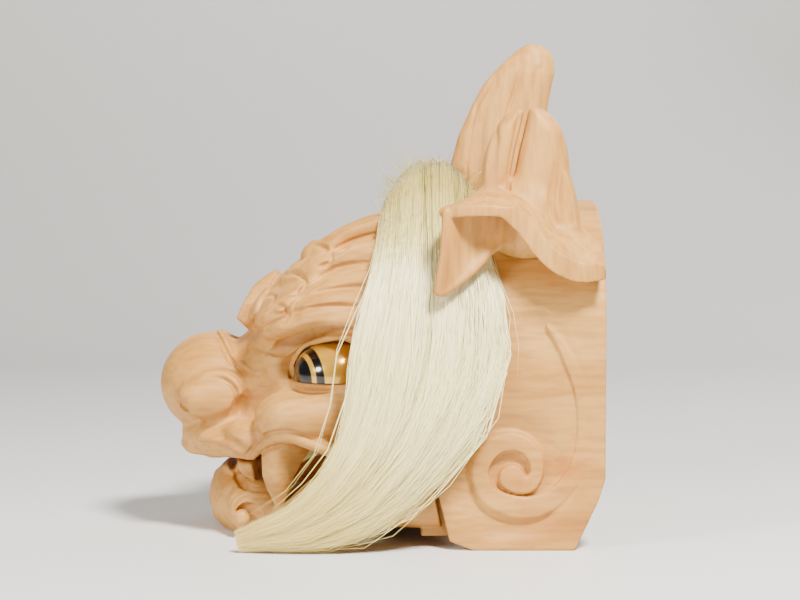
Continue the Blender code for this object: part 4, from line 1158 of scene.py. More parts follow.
EAR_LOBES = [
    # outline in y and z, middle x, half thickness, rounding of the edge, all in mm
    (
        [
            (67, 212), (66.8, 230), (68.6, 247), (74.6, 263.4), (81.2, 272.2), (88, 276.6), (92.6, 277),
            (93.2, 274), (90.6, 262), (87.8, 250), (85.4, 237), (84, 226), (84, 212),
        ],
        94, 12, 8,
    ),
    (
        [
            (85, 212), (86.2, 227), (88, 238), (90.6, 251), (93.6, 263), (95.8, 273), (97.4, 277.4),
            (101.5, 278.6), (107.4, 276), (112.6, 271.8), (117.2, 265.4), (121.2, 252), (122.6, 242),
            (123.5, 230), (123.5, 212),
        ],
        94, 14, 10,
    ),
    (
        [
            (112, 200), (110.6, 214), (111.4, 226), (114.2, 235.5), (118, 240.4), (121.4, 239), (124.4, 232),
            (126.8, 222), (128.8, 212), (130.5, 200),
        ],
        95, 12, 5,
    ),
]
print("ear: skirt rows", len(EAR_SKIRT), "flap rows", len(EAR_FLAP), "lobes", len(EAR_LOBES))

# %% Carve the ears
ear = Block((0.072, 0.036, 0.158), (0.141, 0.143, 0.282), 0.0009)
for points, middle_x, half_x, edge in EAR_LOBES:
    ear.add(padded(smooth_route(points, 3) * MM, middle_x * MM, half_x * MM, edge * MM), 1.0 * MM)
ear.add(egg((0.094, 0.0957, 0.208), (0.0187, 0.0292, 0.0262)), 6 * MM)
skirt_rows = np.array(EAR_SKIRT, float)
ear.add(sheet(skirt_rows, 0.0064), 4 * MM)
ear.add(sheet(skirt_rows[4:, 1:], 0.0096), 2.5 * MM)
outwards = skirt_rows[:, 2] - skirt_rows[:, 1]
outwards[:, 2] = 0
outwards = unit_rows(outwards)
sawn = skirt_rows[:, 2] + outwards * 3.6
saw_rows = np.stack([sawn + (0, 0, 16), sawn + (0, 0, 5), sawn - (0, 0, 5), sawn - (0, 0, 16)], axis=1)
ear.carve(sheet(saw_rows, 0.0068), 0.3 * MM)
ear.add(sheet(EAR_FLAP, 0.0052), 1.5 * MM)
EAR_SLIT = [
    (90.4, 279), (87.4, 264), (84.6, 250), (82.6, 236), (82.4, 226), (85.0, 225.6), (86.0, 236), (88.2, 250),
    (91.6, 264), (95.2, 279),
]
ear.carve(outline(np.array(EAR_SLIT) * MM, 0.1005, 0.13), 0.8 * MM)
trench(ear, [
    (76, 268, 1, 0.3), (75, 258, 3.6, 1.8), (73.4, 244, 4.2, 2.2), (73, 232, 3.6, 1.6), (74, 222, 1.5, 0.4),
], 2)
trench(ear, [
    (113.5, 246, 1, 0.3), (112.4, 236, 2.4, 1.8), (110.6, 224, 2.6, 2.4), (110.4, 213, 3.0, 2.2),
    (113, 203, 3.0, 1.0),
], 1.0)
trench(ear, [(118, 234, 1, 0.3), (118.6, 226, 3, 1.6), (119.4, 216, 3.4, 1.8), (121, 206, 3, 0.6)], 2)
skull_seat = vault(SKULL_SECTIONS, SEAT_GAP, -0.02, -0.1, 0.530 * HEAD_LENGTH)
ear.carve(skull_seat, 0)
PEG_ALONG, PEG_ASIDE, PEG_RADIUS, PEG_REACH = 0.330, 0.830, 0.005, 0.012


def crown_height(along, aside):
    """The vault's height over a point between two skull sections."""
    rows = sorted(SKULL_SECTIONS, key=lambda row: row[0])
    half, shoulder, crown = (np.interp(along, [row[0] for row in rows], [row[i] for row in rows]) for i in (1, 2, 3))
    across = min(1.0, abs(aside) / half)
    return (shoulder + (crown - shoulder) * (1 - across**ARCH_POWER) ** (1 / ARCH_POWER)) * CROWN_HEIGHT


peg_top = crown_height(PEG_ALONG, PEG_ASIDE)
print("ear peg meets the vault at", round(peg_top, 4))
ear_left = skinned("carved_ear_left", ear, 30000, False)


def with_peg(piece, low, high, spot, radius):
    bm = bmesh.new()
    bm.from_mesh(piece.data)
    middle = Matrix.Translation((spot[0], spot[1], (low + high) / 2))
    bmesh.ops.create_cone(
        bm, cap_ends=True, segments=48, radius1=radius, radius2=radius, depth=high - low, matrix=middle
    )
    bm.to_mesh(piece.data)
    bm.free()


peg_spot = place(PEG_ALONG, PEG_ASIDE, 0)
with_peg(ear_left, peg_top - PEG_REACH, peg_top + PEG_REACH, peg_spot, PEG_RADIUS)


def mirrored_copy(piece, name):
    mesh = piece.data.copy()
    mesh.transform(Matrix.Diagonal((-1, 1, 1, 1)))
    mesh.flip_normals()
    return linked(name, mesh)


ear_right = mirrored_copy(ear_left, "carved_ear_right")

# %% [markdown]
# ## Horn
#
# The horn is a flat hook: its front edge leans back and its tip bends over. Its section is a pointed oval
# that gets thinner towards the tip. Three broad flutes run up its side, with two sharp lines between them.

# %% Carve the horn
HORN_PROFILE = [
    # height, front edge, back edge, half thickness, all in mm
    (205, 51.5, 110.5, 15.0),
    (217.8, 49.4, 112.0, 15.0),
    (241, 49.3, 113.0, 15.0),
    (262, 54.9, 113.5, 14.4),
    (283.5, 64.7, 115.1, 13.2),
    (296, 71.6, 117.6, 12.1),
    (303, 77.3, 119.3, 11.4),
    (310, 84.4, 118.8, 10.0),
    (316.4, 91.3, 117.2, 8.25),
    (320.5, 96.5, 113.5, 5.8),
    (322.7, 101.1, 108.1, 3.3),
]


def horn_form():
    heights, front, back, half = (np.array(column) * MM for column in zip(*HORN_PROFILE))

    def distance(x, y, z):
        near, far, thick = (np.interp(z, heights, column) for column in (front, back, half))
        middle, reach = (near + far) / 2, (far - near) / 2
        share = np.sqrt((x / thick) ** 2 + ((y - middle) / reach) ** 2)
        ring = (share - 1) * np.minimum(thick, reach)
        return np.maximum(ring, z - heights[-1])

    return distance, np.array((0, front.min(), heights[0])), np.array((half.max(), back.max(), heights[-1]))


horn = Block((0.0, 0.044, 0.204), (0.020, 0.124, 0.327), 0.0008)
horn.add(horn_form(), 0)
HORN_FLUTES = [
    # y, z, half width, depth in mm
    [
        (79, 302, 1.5, 0.3), (76, 292, 4.2, 1.3), (70.4, 279, 5.4, 2.0), (67.4, 262, 5.8, 2.2),
        (66, 246, 5.6, 2.0), (66, 232, 5.0, 1.2),
    ],
    [(97, 309, 1.5, 0.3), (93.5, 297, 3.6, 1.0), (89.4, 283, 4.4, 1.6), (86, 266, 4.6, 1.6), (84, 250, 4.6, 1.4)],
    [(108, 306, 1, 0.3), (104.6, 294, 3.0, 0.8), (102.4, 280, 3.4, 1.0), (101, 262, 3.4, 1.0)],
]
HORN_LINES = [
    # y, z, press
    [(76, 298, 0.1), (73.4, 292.5, 0.7), (67.1, 281.1, 1), (63.0, 263.7, 1), (60.7, 246.4, 1), (59.6, 228, 1)],
    [(96.4, 308, 0.1), (94.6, 301, 0.7), (91.3, 289.2, 1), (87.9, 279, 1), (84, 262, 1), (82, 244, 0.8)],
]
for flute in HORN_FLUTES:
    trench(horn, flute, 2.5)
for line in HORN_LINES:
    groove(horn, line, 2.6, 1.2, 0.8)
horn.carve(skull_seat, 0)
TENON_ALONG, TENON_HALF = 0.280, (0.007, 0.012, 0.010)
tenon_y, tenon_top = TENON_ALONG * HEAD_LENGTH, crown_height(TENON_ALONG, 0)
tenon_corners = [(tenon_y + a * TENON_HALF[1], tenon_top + b * TENON_HALF[2]) for a, b in SQUARE]
horn.add(outline(tenon_corners, -TENON_HALF[0], TENON_HALF[0]), 0)
carved_horn = skinned("carved_horn", horn, 26000, True)

# %% [markdown]
# ## Eyes
#
# The eyes are turned eggs under thick lacquer, so their surface has to be flawless. A sphere with many
# rings, stretched and cut flat at the back and along the cheek, gives cleaner reflections than a block.

# %% Turn the eyes
def lacquered_eye(name, side):
    bm = bmesh.new()
    stretch = Matrix.Diagonal((*EYE_HALF, 1))
    spot = Matrix.Translation((side * EYE_AT[0], EYE_AT[1], EYE_AT[2]))
    matrix = spot @ Matrix.Rotation(side * EYE_TURN, 4, "Z") @ stretch
    bmesh.ops.create_uvsphere(bm, u_segments=72, v_segments=48, radius=1, matrix=matrix)
    facing = Vector((side * math.cos(EYE_BACK_TURN), -math.sin(EYE_BACK_TURN), 0))
    centre = Vector((side * EYE_AT[0], EYE_AT[1], EYE_AT[2]))
    back_cut = (centre - facing * EYE_BACK_DEPTH, -facing)
    seat_cut = (Vector((0, 0, EYE_SEAT)), Vector((0, 0, -1)))
    for point, normal in (back_cut, seat_cut):
        every = bm.verts[:] + bm.edges[:] + bm.faces[:]
        cut = bmesh.ops.bisect_plane(bm, geom=every, plane_co=point, plane_no=normal, clear_outer=True)
        rim = [item for item in cut["geom_cut"] if isinstance(item, bmesh.types.BMEdge)]
        bmesh.ops.contextual_create(bm, geom=rim)
    bmesh.ops.recalc_face_normals(bm, faces=bm.faces[:])
    mesh = smooth_mesh(name, bm)
    mesh.set_sharp_from_angle(angle=math.radians(40))
    return linked(name, mesh)


eye_left = lacquered_eye("lacquered_eye_left", 1)
eye_right = lacquered_eye("lacquered_eye_right", -1)
print("eye faces", len(eye_left.data.polygons))

# %% [markdown]
# ## Horsehair
#
# The mane starts as a tuft on the crown, passes in front of the ear, falls over the shoulder and fans out
# on the floor. The CAD model fuses it into one solid lock. Real hair is thousands of thin strands that
# gather in wisps, so the script guides each wisp along the same middle line and spreads strands round it.

# %% Guide lines of the mane
MANE_SECTIONS = [
    # along, aside, up, half the spread across the hank, growth of a lock's thickness
    (0.128, 0.120, 0.960, 0.076, 1.00),
    (0.128, 0.180, 1.075, 0.094, 1.15),
    (0.126, 0.420, 1.015, 0.104, 1.15),
    (0.124, 0.740, 0.895, 0.106, 1.05),
    (0.125, 0.940, 0.785, 0.120, 0.85),
    (0.126, 1.025, 0.690, 0.140, 0.62),
    (0.118, 1.060, 0.570, 0.150, 0.80),
    (0.092, 1.085, 0.435, 0.142, 1.00),
    (0.043, 1.095, 0.300, 0.112, 1.05),
    (-0.025, 1.100, 0.180, 0.088, 1.05),
    (-0.108, 1.100, 0.100, 0.066, 1.00),
    (-0.195, 1.085, 0.055, 0.040, 0.80),
    (-0.298, 1.065, 0.024, 0.018, 0.45),
]
LOCK_RADIUS = 0.0085
guide = smooth_route(MANE_SECTIONS, 6)
middle_line = np.array([place(*row[:3]) for row in guide])
tangent = unit_rows(np.gradient(middle_line, axis=0))
axis_height = 0.5 * CROWN_HEIGHT
above_axis = np.maximum(middle_line[:, 2] - axis_height, 0)
outward = unit_rows(np.stack([middle_line[:, 0], 0 * above_axis, above_axis * 1.2], axis=1))
outward = unit_rows(outward - (outward * tangent).sum(axis=1, keepdims=True) * tangent)
across = np.cross(tangent, outward)
spread = guide[:, 3] * HEAD_LENGTH
thickness = LOCK_RADIUS * guide[:, 4]
guide_steps = np.linalg.norm(np.diff(middle_line, axis=0), axis=1)
print("mane guide", len(guide), "stations,", round(float(guide_steps.sum()), 3), "m long")

# %% [markdown]
# Each strand belongs to a wisp, which sets where it lies across the hank and how deep in it. Random numbers
# with fixed seeds add the strand's own small shifts, some short and loose strands, and a splay at the end.
# Blender's own hair would look as fine, but an export needs plain meshes, so the points are made here.

# %% Strands
STATIONS = np.array((0, 0.06, 0.12, 0.18, 0.25, 0.34, 0.44, 0.56, 0.68, 0.80, 0.91, 1.0))
SHORT_STRANDS, LOOSE_STRANDS = 0.14, 0.022
TUFT_AT, TUFT_REACH, TUFT_DROP = 0.08, 0.13, 0.016
HAIR_FLOOR = 0.0005
HAIR_MIDDLE_GAP = 0.0004
vault_distance = vault(SKULL_SECTIONS, 0.0008, -0.02, -0.2, 0.530 * HEAD_LENGTH)[0]


def at_tuft(share):
    """1 at the tuft on the crown, fading to 0 along the hank. The hair's edges droop there."""
    return np.exp(-(((share - TUFT_AT) / TUFT_REACH) ** 2))


def at_share(values, share):
    """Values along the guide at shares of its length, for many strands at once."""
    spot = np.clip(share, 0, 1) * (len(values) - 1)
    low = np.minimum(spot.astype(int), len(values) - 2)
    part = (spot - low)[..., None] if values.ndim > 1 else spot - low
    return values[low] * (1 - part) + values[low + 1] * part


def hair_points(random, strands, wisps, depth):
    """Points along every strand, how far along the hank each one is, and a random lean for each strand."""
    own = random.integers(0, wisps, strands)
    wisp_across = np.sort(random.uniform(-1, 1, wisps))
    wisp_across = np.sign(wisp_across) * np.abs(wisp_across) ** 0.85
    wisp_depth = random.uniform(*depth, wisps)
    wisp_wave = random.uniform(0, 2 * math.pi, (wisps, 2))
    end = random.uniform(0.80, 0.98, wisps)[own] + random.normal(0, 0.035, strands)
    short = random.random(strands) < SHORT_STRANDS
    end[short] *= random.uniform(0.45, 0.95, short.sum())
    stations = np.repeat(STATIONS[None, :], strands, axis=0)
    stations[:, 1:-1] += random.uniform(-0.022, 0.022, (strands, 1))
    share = stations * np.clip(end, 0.3, 1.0)[:, None]
    gather = random.normal(0, 0.045, strands)[:, None] * (1.1 - 0.3 * share)
    u = wisp_across[own][:, None] * (1 + 0.05 * random.normal(0, 1, strands)[:, None] * share) + gather
    u += 0.030 * np.sin(wisp_wave[own][:, :1] + share * 5) * share
    u += random.normal(0, 0.035, strands)[:, None] * np.sin(share * 6 + random.uniform(0, 6, strands)[:, None])
    v = wisp_depth[own][:, None] + random.normal(0, 0.16, strands)[:, None]
    v = v + 0.10 * np.sin(wisp_wave[own][:, 1:] + share * 8)
    v = np.clip(v, -0.85, 1.1)
    loose = (random.random(strands) < LOOSE_STRANDS)[:, None] * np.clip(share, 0.02, 1) ** 1.3
    v += loose * random.uniform(0.1, 0.9, strands)[:, None]
    u += loose * random.normal(0, 0.42, strands)[:, None]
    splay = np.clip((share - 0.80) / 0.2, 0, 1) ** 2
    u += splay * random.normal(0, 0.35, strands)[:, None]
    points = at_share(middle_line, share)
    points = points + at_share(across, share) * (u * at_share(spread, share))[..., None]
    dome = np.sqrt(np.clip(1 - 0.8 * u**2, 0.05, 1))
    points = points + at_share(outward, share) * (v * dome * at_share(thickness, share))[..., None]
    points[..., 2] -= TUFT_DROP * np.minimum(u**2, 1.6) * at_tuft(share)
    return points, share, random.uniform(-1, 1, strands)


print("points on a strand", len(STATIONS))

# %% [markdown]
# Real hair lies on the wood and never runs through it. Every point that comes too close to the skull is
# moved straight out, by as much as it lacks. The skull's own distance form gives that number at once, which
# is much quicker than a search on the finished mesh.

# %% Keep the hair out of the wood
HAIR_GAP = 0.0012


def pushed_out(points):
    """Moves points that are inside the skull straight out of it."""
    inside = vault_distance(np.abs(points[..., 0]), points[..., 1], points[..., 2])
    depth = np.maximum(HAIR_GAP - inside, 0)
    away = np.stack([points[..., 0], 0 * depth, np.maximum(points[..., 2] - 0.14, 0) * 1.4], axis=-1)
    away /= np.maximum(np.linalg.norm(away, axis=-1, keepdims=True), 1e-6)
    return points + away * depth[..., None]


print("a point inside the skull moves to", pushed_out(np.array([[0.02, 0.05, 0.20]])).round(4).tolist())

# %% [markdown]
# A hair could be a curve with a round profile, but twenty thousand tubes would be far too heavy. A flat
# ribbon, turned roughly towards the outside and narrow at both ends, looks the same from a step away. Two
# numbers ride on each ribbon for the finish: a random tone, and how far along the hank each point is.

# %% Ribbons
def point_values(mesh, name, values):
    """Stores one number at each point, for the shader to read."""
    mesh.attributes.new(name, "FLOAT", "POINT").data.foreach_set("value", np.array(values, np.float32))


def ribbon_mesh(name, points, share, random, width, outward_way):
    """One thin tapering ribbon along each row of points, as one mesh."""
    strands, count = points.shape[:2]
    along = np.gradient(points, axis=1)
    along /= np.maximum(np.linalg.norm(along, axis=2, keepdims=True), 1e-9)
    facing = np.cross(along, outward_way)
    facing /= np.maximum(np.linalg.norm(facing, axis=2, keepdims=True), 1e-9)
    roll_angle = random.normal(0, 0.35, strands)[:, None, None]
    side = facing * np.cos(roll_angle) + np.cross(along, facing) * np.sin(roll_angle)
    taper = np.linspace(0, 1, count)
    profile = np.minimum(1, 0.4 + taper * 5) * np.clip((1.04 - taper) * 3, 0, 1)
    half = width / 2 * random.uniform(0.6, 1.25, strands)[:, None] * profile[None, :]
    vertices = np.stack([points - side * half[..., None], points + side * half[..., None]], axis=2).reshape(-1, 3)
    start = (np.arange(strands) * 2 * count)[:, None] + 2 * np.arange(count - 1)[None, :]
    faces = np.stack([start, start + 1, start + 3, start + 2], axis=-1).reshape(-1, 4)
    mesh = bpy.data.meshes.new(name)
    mesh.from_pydata(vertices.tolist(), [], faces.tolist())
    point_values(mesh, "tone", np.repeat(random.random(strands), 2 * count))
    point_values(mesh, "reach", np.repeat(share.ravel(), 2))
    mesh.shade_smooth()
    return linked(name, mesh)

# %% [markdown]
# A lower layer of coarser strands fills the hank and an upper layer of fine ones covers it. Short curled
# hairs stand out at the crown, as they do where a tuft is tied. The right side mirrors the left.

# %% Lay the hair
def hair_piece(name, seed, strands, wisps, width, depth):
    random = np.random.default_rng(seed)
    points, share, lean = hair_points(random, strands, wisps, depth)
    for _ in range(2):
        points = pushed_out(points)
    points[..., 0] = np.maximum(points[..., 0], HAIR_MIDDLE_GAP)
    low = HAIR_FLOOR + random.uniform(0, 0.006, strands)[:, None]
    under = np.maximum(low - points[..., 2], 0)
    points[..., 0] += under * 0.8 * lean[:, None]
    points[..., 2] = np.maximum(points[..., 2], low)
    return ribbon_mesh(name, points, share, random, width, at_share(outward, share))


WISP_STATIONS = 9
WISP_WIDTH = 0.00024


def crown_wisps(name, seed, strands):
    """Short curled hairs that stand out of the tuft on the crown."""
    random = np.random.default_rng(seed)
    share = random.uniform(0.03, 0.30, strands)
    u = random.uniform(-1.05, 1.05, strands)
    base = at_share(middle_line, share) + at_share(across, share) * (u * at_share(spread, share))[:, None]
    base += at_share(outward, share) * (0.5 * at_share(thickness, share))[:, None]
    base[:, 2] -= TUFT_DROP * u**2 * at_tuft(share)
    way = at_share(outward, share) + at_share(tangent, share) * random.uniform(-0.6, 1.4, strands)[:, None]
    way += at_share(across, share) * (u + random.normal(0, 0.45, strands))[:, None]
    way = unit_rows(way)
    curl = unit_rows(np.cross(way, random.normal(0, 1, (strands, 3))))
    length = random.uniform(0.006, 0.022, strands)
    bend = random.uniform(-1.0, 1.8, strands)
    turn = np.outer(bend, np.linspace(0, 1, WISP_STATIONS))
    divisor = np.where(np.abs(bend) < 0.05, 1, bend)[:, None]
    out = np.sin(turn) / divisor
    over = (1 - np.cos(turn)) / divisor
    bent = way[:, None, :] * out[..., None] + curl[:, None, :] * over[..., None]
    points = base[:, None, :] + bent * length[:, None, None]
    points = pushed_out(points)
    points[..., 0] = np.maximum(points[..., 0], HAIR_MIDDLE_GAP)
    shares = np.repeat(share[:, None], WISP_STATIONS, axis=1)
    return ribbon_mesh(name, points, shares, random, WISP_WIDTH, curl[:, None, :] + 0 * points)


hair_left = [
    hair_piece("hair_left_under", 11, 6600, 150, 0.00075, (-0.6, 0.5)),
    hair_piece("hair_left_over", 12, 6600, 240, 0.00042, (-0.1, 1.0)),
    crown_wisps("hair_left_crown", 13, 520),
]
hair_right = [mirrored_copy(piece, piece.name.replace("left", "right")) for piece in hair_left]
print("hair faces", sum(len(piece.data.polygons) for piece in hair_left + hair_right))

# %% [markdown]
# Looking between real strands shows more strands. A thousand hidden ones would cost too much, so a slim
# smooth band in the same finish lies under them and closes every gap. Its tones are halved, so it is a
# little darker than the strands: painted shade for the inside of the hank.

# %% A core under the strands
CORE_SIDES = 40
# Halving the strands' tones makes the core a little darker than the hair over it: painted shade for the inside of the
# hank.
CORE_SHADE_TONE = 0.5
CORE_WIDTH = 0.76
CORE_THICKNESS = 0.36
CORE_DROP = 0.014


def hank_core(name, side):
    """A smooth slim band under the strands, so no gap between them shows the bare wood."""
    rings, reach, tone = [], [], []
    random = np.random.default_rng(21)
    own_tone = random.random(CORE_SIDES)
    stations = range(2, len(guide) - 6)
    for i in stations:
        wide = across[i] * spread[i] * CORE_WIDTH
        thick = outward[i] * thickness[i] * CORE_THICKNESS
        turns = np.linspace(0, 2 * math.pi, CORE_SIDES, endpoint=False)
        ring = middle_line[i] + np.outer(np.cos(turns), wide) + np.outer(np.sin(turns), thick)
        share = i / (len(guide) - 1)
        ring[:, 2] -= CORE_DROP * np.cos(turns) ** 2 * at_tuft(share)
        rings.append(ring)
        reach += [share] * CORE_SIDES
        tone += list(own_tone)
    rings = pushed_out(np.array(rings))
    rings[..., 0] = np.maximum(rings[..., 0], 0.0006)
    rings[..., 2] = np.maximum(rings[..., 2], 0.0008)
    rings[..., 0] *= side
    bm = bmesh.new()
    made = [[bm.verts.new(point) for point in ring] for ring in rings]
    for near, far in zip(made, made[1:]):
        for i in range(CORE_SIDES):
            j = (i + 1) % CORE_SIDES
            bm.faces.new((near[i], near[j], far[j], far[i]))
    bm.faces.new(made[0])
    bm.faces.new(made[-1][::-1])
    bmesh.ops.recalc_face_normals(bm, faces=bm.faces[:])
    mesh = smooth_mesh(name, bm)
    point_values(mesh, "reach", reach)
    # Halved tones: painted shade for the inside of the hank.
    point_values(mesh, "tone", np.array(tone, np.float32) * CORE_SHADE_TONE)
    return linked(name, mesh)


core_left, core_right = hank_core("hank_core_left", 1), hank_core("hank_core_right", -1)
print("core faces", len(core_left.data.polygons), len(core_right.data.polygons))

# %% [markdown]
# ## Finishes
#
# Every finish is made of nodes, with no picture files. One helper adds a node, sets it up and joins it to
# the nodes before it, so each finish below reads like a recipe from top to bottom.

# %% Shader nodes
def node_material(name):
    made = bpy.data.materials.new(name)
    made.use_nodes = True
    return made, made.node_tree, made.node_tree.nodes["Principled BSDF"]


def node(tree, kind, inputs, output=0, **settings):
    """Adds a node, fills its inputs with values or links, and gives back one of its outputs."""
    made = tree.nodes.new("ShaderNode" + kind)
    for setting, value in settings.items():
        setattr(made, setting, value)
    for socket, value in inputs.items():
        if isinstance(value, bpy.types.NodeSocket):
            tree.links.new(value, made.inputs[socket])
        else:
            made.inputs[socket].default_value = value
    return made.outputs[output]


def colour_ramp(tree, factor, stops):
    colour = node(tree, "ValToRGB", {"Fac": factor}, "Color")
    elements = colour.node.color_ramp.elements
    elements[0].position, elements[0].color = stops[0][0], (*stops[0][1], 1)
    elements[1].position, elements[1].color = stops[-1][0], (*stops[-1][1], 1)
    for position, shade in stops[1:-1]:
        elements.new(position).color = (*shade, 1)
    return colour


def multiplied(tree, factor, a, b):
    return node(tree, "Mix", {"Factor": factor, 6: a, 7: b}, 2, data_type="RGBA", blend_type="MULTIPLY")


kinds = [kind for kind in dir(bpy.types) if kind.startswith("ShaderNode")]
print("Blender offers", len(kinds), "kinds of shader node")

# %% [markdown]
# Wood is two stretched noises: a broad one for the warm and pale bands of the growth rings, and a fine one
# for the pores. The grain of the head runs from front to back, as the block was laid, and stands upright in
# the ears and the horn. Large faint patches and one browner stain behind each spiral keep the bare wood
# from looking new.

# %% Wood
GRAIN_SCALE, PORE_SCALE, PATCH_SCALE, STAIN_SCALE = 38, 260, 9, 55
PORE_STRENGTH, PATCH_STRENGTH = 0.55, 0.25
WOOD_TONES = ((0.30, (0.475, 0.216, 0.037)), (0.50, (0.555, 0.272, 0.056)), (0.70, (0.635, 0.338, 0.085)))
STAIN = (0.86, 0.52, 0.22, 1)


def pale_wood(name, stretch, tint=(1.0, 1.0, 1.0), stained=None):
    """stretch scales the noise along each axis. stained is the middle and the reach of a stain, in y and z."""
    made, tree, shader = node_material(name)
    spot = node(tree, "TexCoord", {}, "Object")

    def noise(scale, detail, squeeze, distortion=0.0):
        squeezed = node(tree, "Mapping", {"Vector": spot, "Scale": squeeze})
        settings = {"Vector": squeezed, "Scale": scale, "Detail": detail, "Distortion": distortion}
        return node(tree, "TexNoise", settings, "Fac")

    rings = noise(GRAIN_SCALE, 4, stretch, 0.6)
    tones = [(position, tuple(a * b for a, b in zip(tone, tint))) for position, tone in WOOD_TONES]
    base = colour_ramp(tree, rings, tones)
    pores = colour_ramp(tree, noise(PORE_SCALE, 3, stretch), [(0.38, (0.72, 0.66, 0.56)), (0.56, (1, 1, 1))])
    coloured = multiplied(tree, PORE_STRENGTH, base, pores)
    patches = colour_ramp(tree, noise(PATCH_SCALE, 2, (1, 1, 1), 0.4), [
        (0.40, (0.84, 0.72, 0.58)), (0.58, (1, 1, 1)),
    ])
    coloured = multiplied(tree, PATCH_STRENGTH, coloured, patches)
    if stained:
        middle, reach = stained
        scale = (0, 1 / reach[0], 1 / reach[1])
        shift = (0, -middle[0] / reach[0], -middle[1] / reach[1])
        centred = node(tree, "Mapping", {"Vector": spot, "Scale": scale, "Location": shift})
        near = node(tree, "TexGradient", {"Vector": centred}, "Fac", gradient_type="SPHERICAL")
        spots = noise(STAIN_SCALE, 5, (1.0, 0.6, 1.0), 0.8)
        spots = colour_ramp(tree, spots, [(0.36, (0, 0, 0)), (0.66, (1, 1, 1))])
        share = node(tree, "Math", {0: near, 1: spots}, operation="MULTIPLY")
        coloured = multiplied(tree, share, coloured, STAIN)
    tree.links.new(coloured, shader.inputs["Base Color"])
    rough = colour_ramp(tree, rings, [(0.3, (0.50, 0.50, 0.50)), (0.7, (0.64, 0.64, 0.64))])
    tree.links.new(rough, shader.inputs["Roughness"])
    height = noise(PORE_SCALE, 3, stretch)
    bump = node(tree, "Bump", {"Strength": 0.16, "Distance": 0.0006, "Height": height}, "Normal")
    tree.links.new(bump, shader.inputs["Normal"])
    return made


LYING_GRAIN, UPRIGHT_GRAIN, CROSS_GRAIN = (1.0, 0.14, 1.0), (1.0, 1.0, 0.16), (0.14, 1.0, 1.0)
head_wood = pale_wood("pale_wood_head", LYING_GRAIN, stained=((0.110, 0.042), (0.042, 0.046)))
jaw_wood = pale_wood("pale_wood_jaw", LYING_GRAIN)
ear_wood = pale_wood("pale_wood_ear", UPRIGHT_GRAIN, (1.03, 1.02, 1.0))
horn_wood = pale_wood("pale_wood_horn", UPRIGHT_GRAIN, (1.02, 1.0, 0.97))
dowel_wood = pale_wood("dowel_wood", CROSS_GRAIN, (0.72, 0.68, 0.62))
print("wood finishes", [wood.name for wood in (head_wood, jaw_wood, ear_wood, horn_wood, dowel_wood)])

# %% [markdown]
# The eyes have a black pupil that looks forwards, a thin gold ring, a black ring and gold round it. The
# rings are cuts through the egg at angles from the pupil's axis, so the shader measures that angle from
# the position and picks the colour. A clear coat on top gives the deep gloss of lacquer.

# %% Eye lacquer
PUPIL_TURN = math.radians(4)
PUPIL_DROP = math.radians(-4.5)
RING_EDGES = (34.0, 41.0, 52.5)


RING_BLEND = 0.006
BLACK, GOLD, AMBER = (0.006, 0.005, 0.005), (0.70, 0.40, 0.040), (0.50, 0.20, 0.02)


def eye_lacquer(name, side):
    made, tree, shader = node_material(name)
    spot = node(tree, "TexCoord", {}, "Object")
    centre = (side * EYE_AT[0], EYE_AT[1], EYE_AT[2])
    local = node(tree, "VectorMath", {0: spot, 1: centre}, operation="SUBTRACT")
    upright = node(tree, "VectorRotate", {"Vector": local, "Angle": -side * EYE_TURN}, rotation_type="Z_AXIS")
    unit = node(tree, "VectorMath", {0: upright, 1: tuple(EYE_HALF)}, operation="DIVIDE")
    round_unit = node(tree, "VectorMath", {0: unit}, operation="NORMALIZE")
    gaze = (
        side * math.sin(PUPIL_TURN) * math.cos(PUPIL_DROP),
        -math.cos(PUPIL_TURN) * math.cos(PUPIL_DROP),
        math.sin(PUPIL_DROP),
    )
    cosine = node(tree, "VectorMath", {0: round_unit, 1: gaze}, "Value", operation="DOT_PRODUCT")
    angle = node(tree, "Math", {0: cosine}, operation="ARCCOSINE")
    share = node(tree, "Math", {0: angle, 1: math.pi}, operation="DIVIDE")
    stops = [(0.0, BLACK)]
    for edge, (inside, outside) in zip(RING_EDGES, ((BLACK, GOLD), (GOLD, BLACK), (BLACK, GOLD))):
        stops += [(edge / 180, inside), (edge / 180 + RING_BLEND, outside)]
    rings = colour_ramp(tree, share, [*stops, (0.62, AMBER), (1.0, AMBER)])
    tree.links.new(rings, shader.inputs["Base Color"])
    for socket, value in (("Roughness", 0.22), ("Metallic", 0.55), ("Coat Weight", 1.0), ("Coat Roughness", 0.03)):
        shader.inputs[socket].default_value = value
    return made


print("eye rings end at", RING_EDGES, "degrees from the gaze")

# %% [markdown]
# Horsehair is pale at the middle, greenish yellow at the crown and a warmer yellow near the floor. Each
# strand carries a random tone, and how far along it a point is, so the colour can drift down the hank.

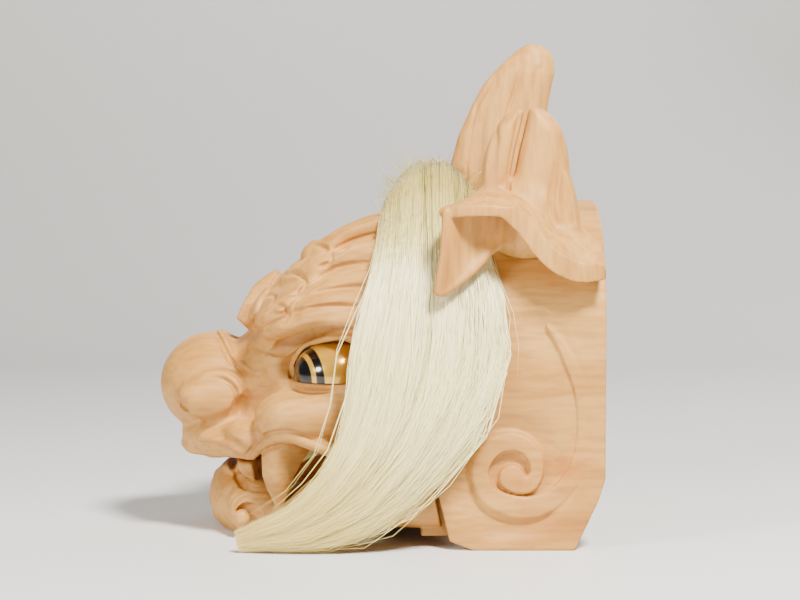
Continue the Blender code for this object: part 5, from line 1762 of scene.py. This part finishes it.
# %% Hair finish
HAIR_TONES_DOWN = [
    # how far along the hank, colour
    (0.00, (0.40, 0.31, 0.05)),
    (0.16, (0.50, 0.40, 0.08)),
    (0.26, (0.76, 0.66, 0.24)),
    (0.36, (1.00, 0.93, 0.56)),
    (0.62, (1.00, 0.91, 0.46)),
    (0.82, (0.92, 0.77, 0.26)),
    (1.00, (0.84, 0.67, 0.22)),
]
STRAND_TONES = [
    (0.0, (0.58, 0.52, 0.38)), (0.10, (0.86, 0.83, 0.74)), (0.35, (0.98, 0.97, 0.93)), (1.0, (1.0, 1.0, 1.0)),
]


def horsehair(name):
    made, tree, shader = node_material(name)
    reach = node(tree, "Attribute", {}, "Fac", attribute_name="reach")
    tone = node(tree, "Attribute", {}, "Fac", attribute_name="tone")
    down = colour_ramp(tree, reach, HAIR_TONES_DOWN)
    own = colour_ramp(tree, tone, STRAND_TONES)
    tree.links.new(multiplied(tree, 1.0, down, own), shader.inputs["Base Color"])
    for socket, value in (("Roughness", 0.42), ("Specular IOR Level", 0.5), ("Sheen Weight", 0.5)):
        shader.inputs[socket].default_value = value
    return made


hair_finish = horsehair("horsehair_strands")
print("hair colours down the hank", len(HAIR_TONES_DOWN))

# %% [markdown]
# ## Put it together
#
# Each dressed piece stands for its CAD node and rides on that node's body. The dowel keeps its CAD mesh,
# which is already a plain round bar, and only gets a finish.

# %% Dress the frame
nodes = frame["nodes"]
DRESSED = [
    # piece, finish, body, slot, CAD nodes it stands for
    (carved_head, head_wood, "head", "carved_wood", ("head_shell",)),
    (carved_jaw, jaw_wood, "jaw", "carved_wood", ("lower_jaw",)),
    (ear_left, ear_wood, "head", "carved_wood", ("ear_left",)),
    (ear_right, ear_wood, "head", "carved_wood", ("ear_right",)),
    (carved_horn, horn_wood, "head", "carved_wood", ("horn",)),
    (eye_left, eye_lacquer("eye_lacquer_left", 1), "head", "eye_lacquer", ("eye_left",)),
    (eye_right, eye_lacquer("eye_lacquer_right", -1), "head", "eye_lacquer", ("eye_right",)),
    (core_left, hair_finish, "head", "horsehair", ("mane_left",)),
    (core_right, hair_finish, "head", "horsehair", ("mane_right",)),
    *[(piece, hair_finish, "head", "horsehair", ()) for piece in hair_left + hair_right],
]
for piece, finish, body, slot, stands_for in DRESSED:
    piece.data.materials.clear()
    piece.data.materials.append(finish)
    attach(piece, body)
    if stands_for:
        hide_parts(*stands_for)
nodes["jaw_axle"].data.materials.clear()
nodes["jaw_axle"].data.materials.append(dowel_wood)
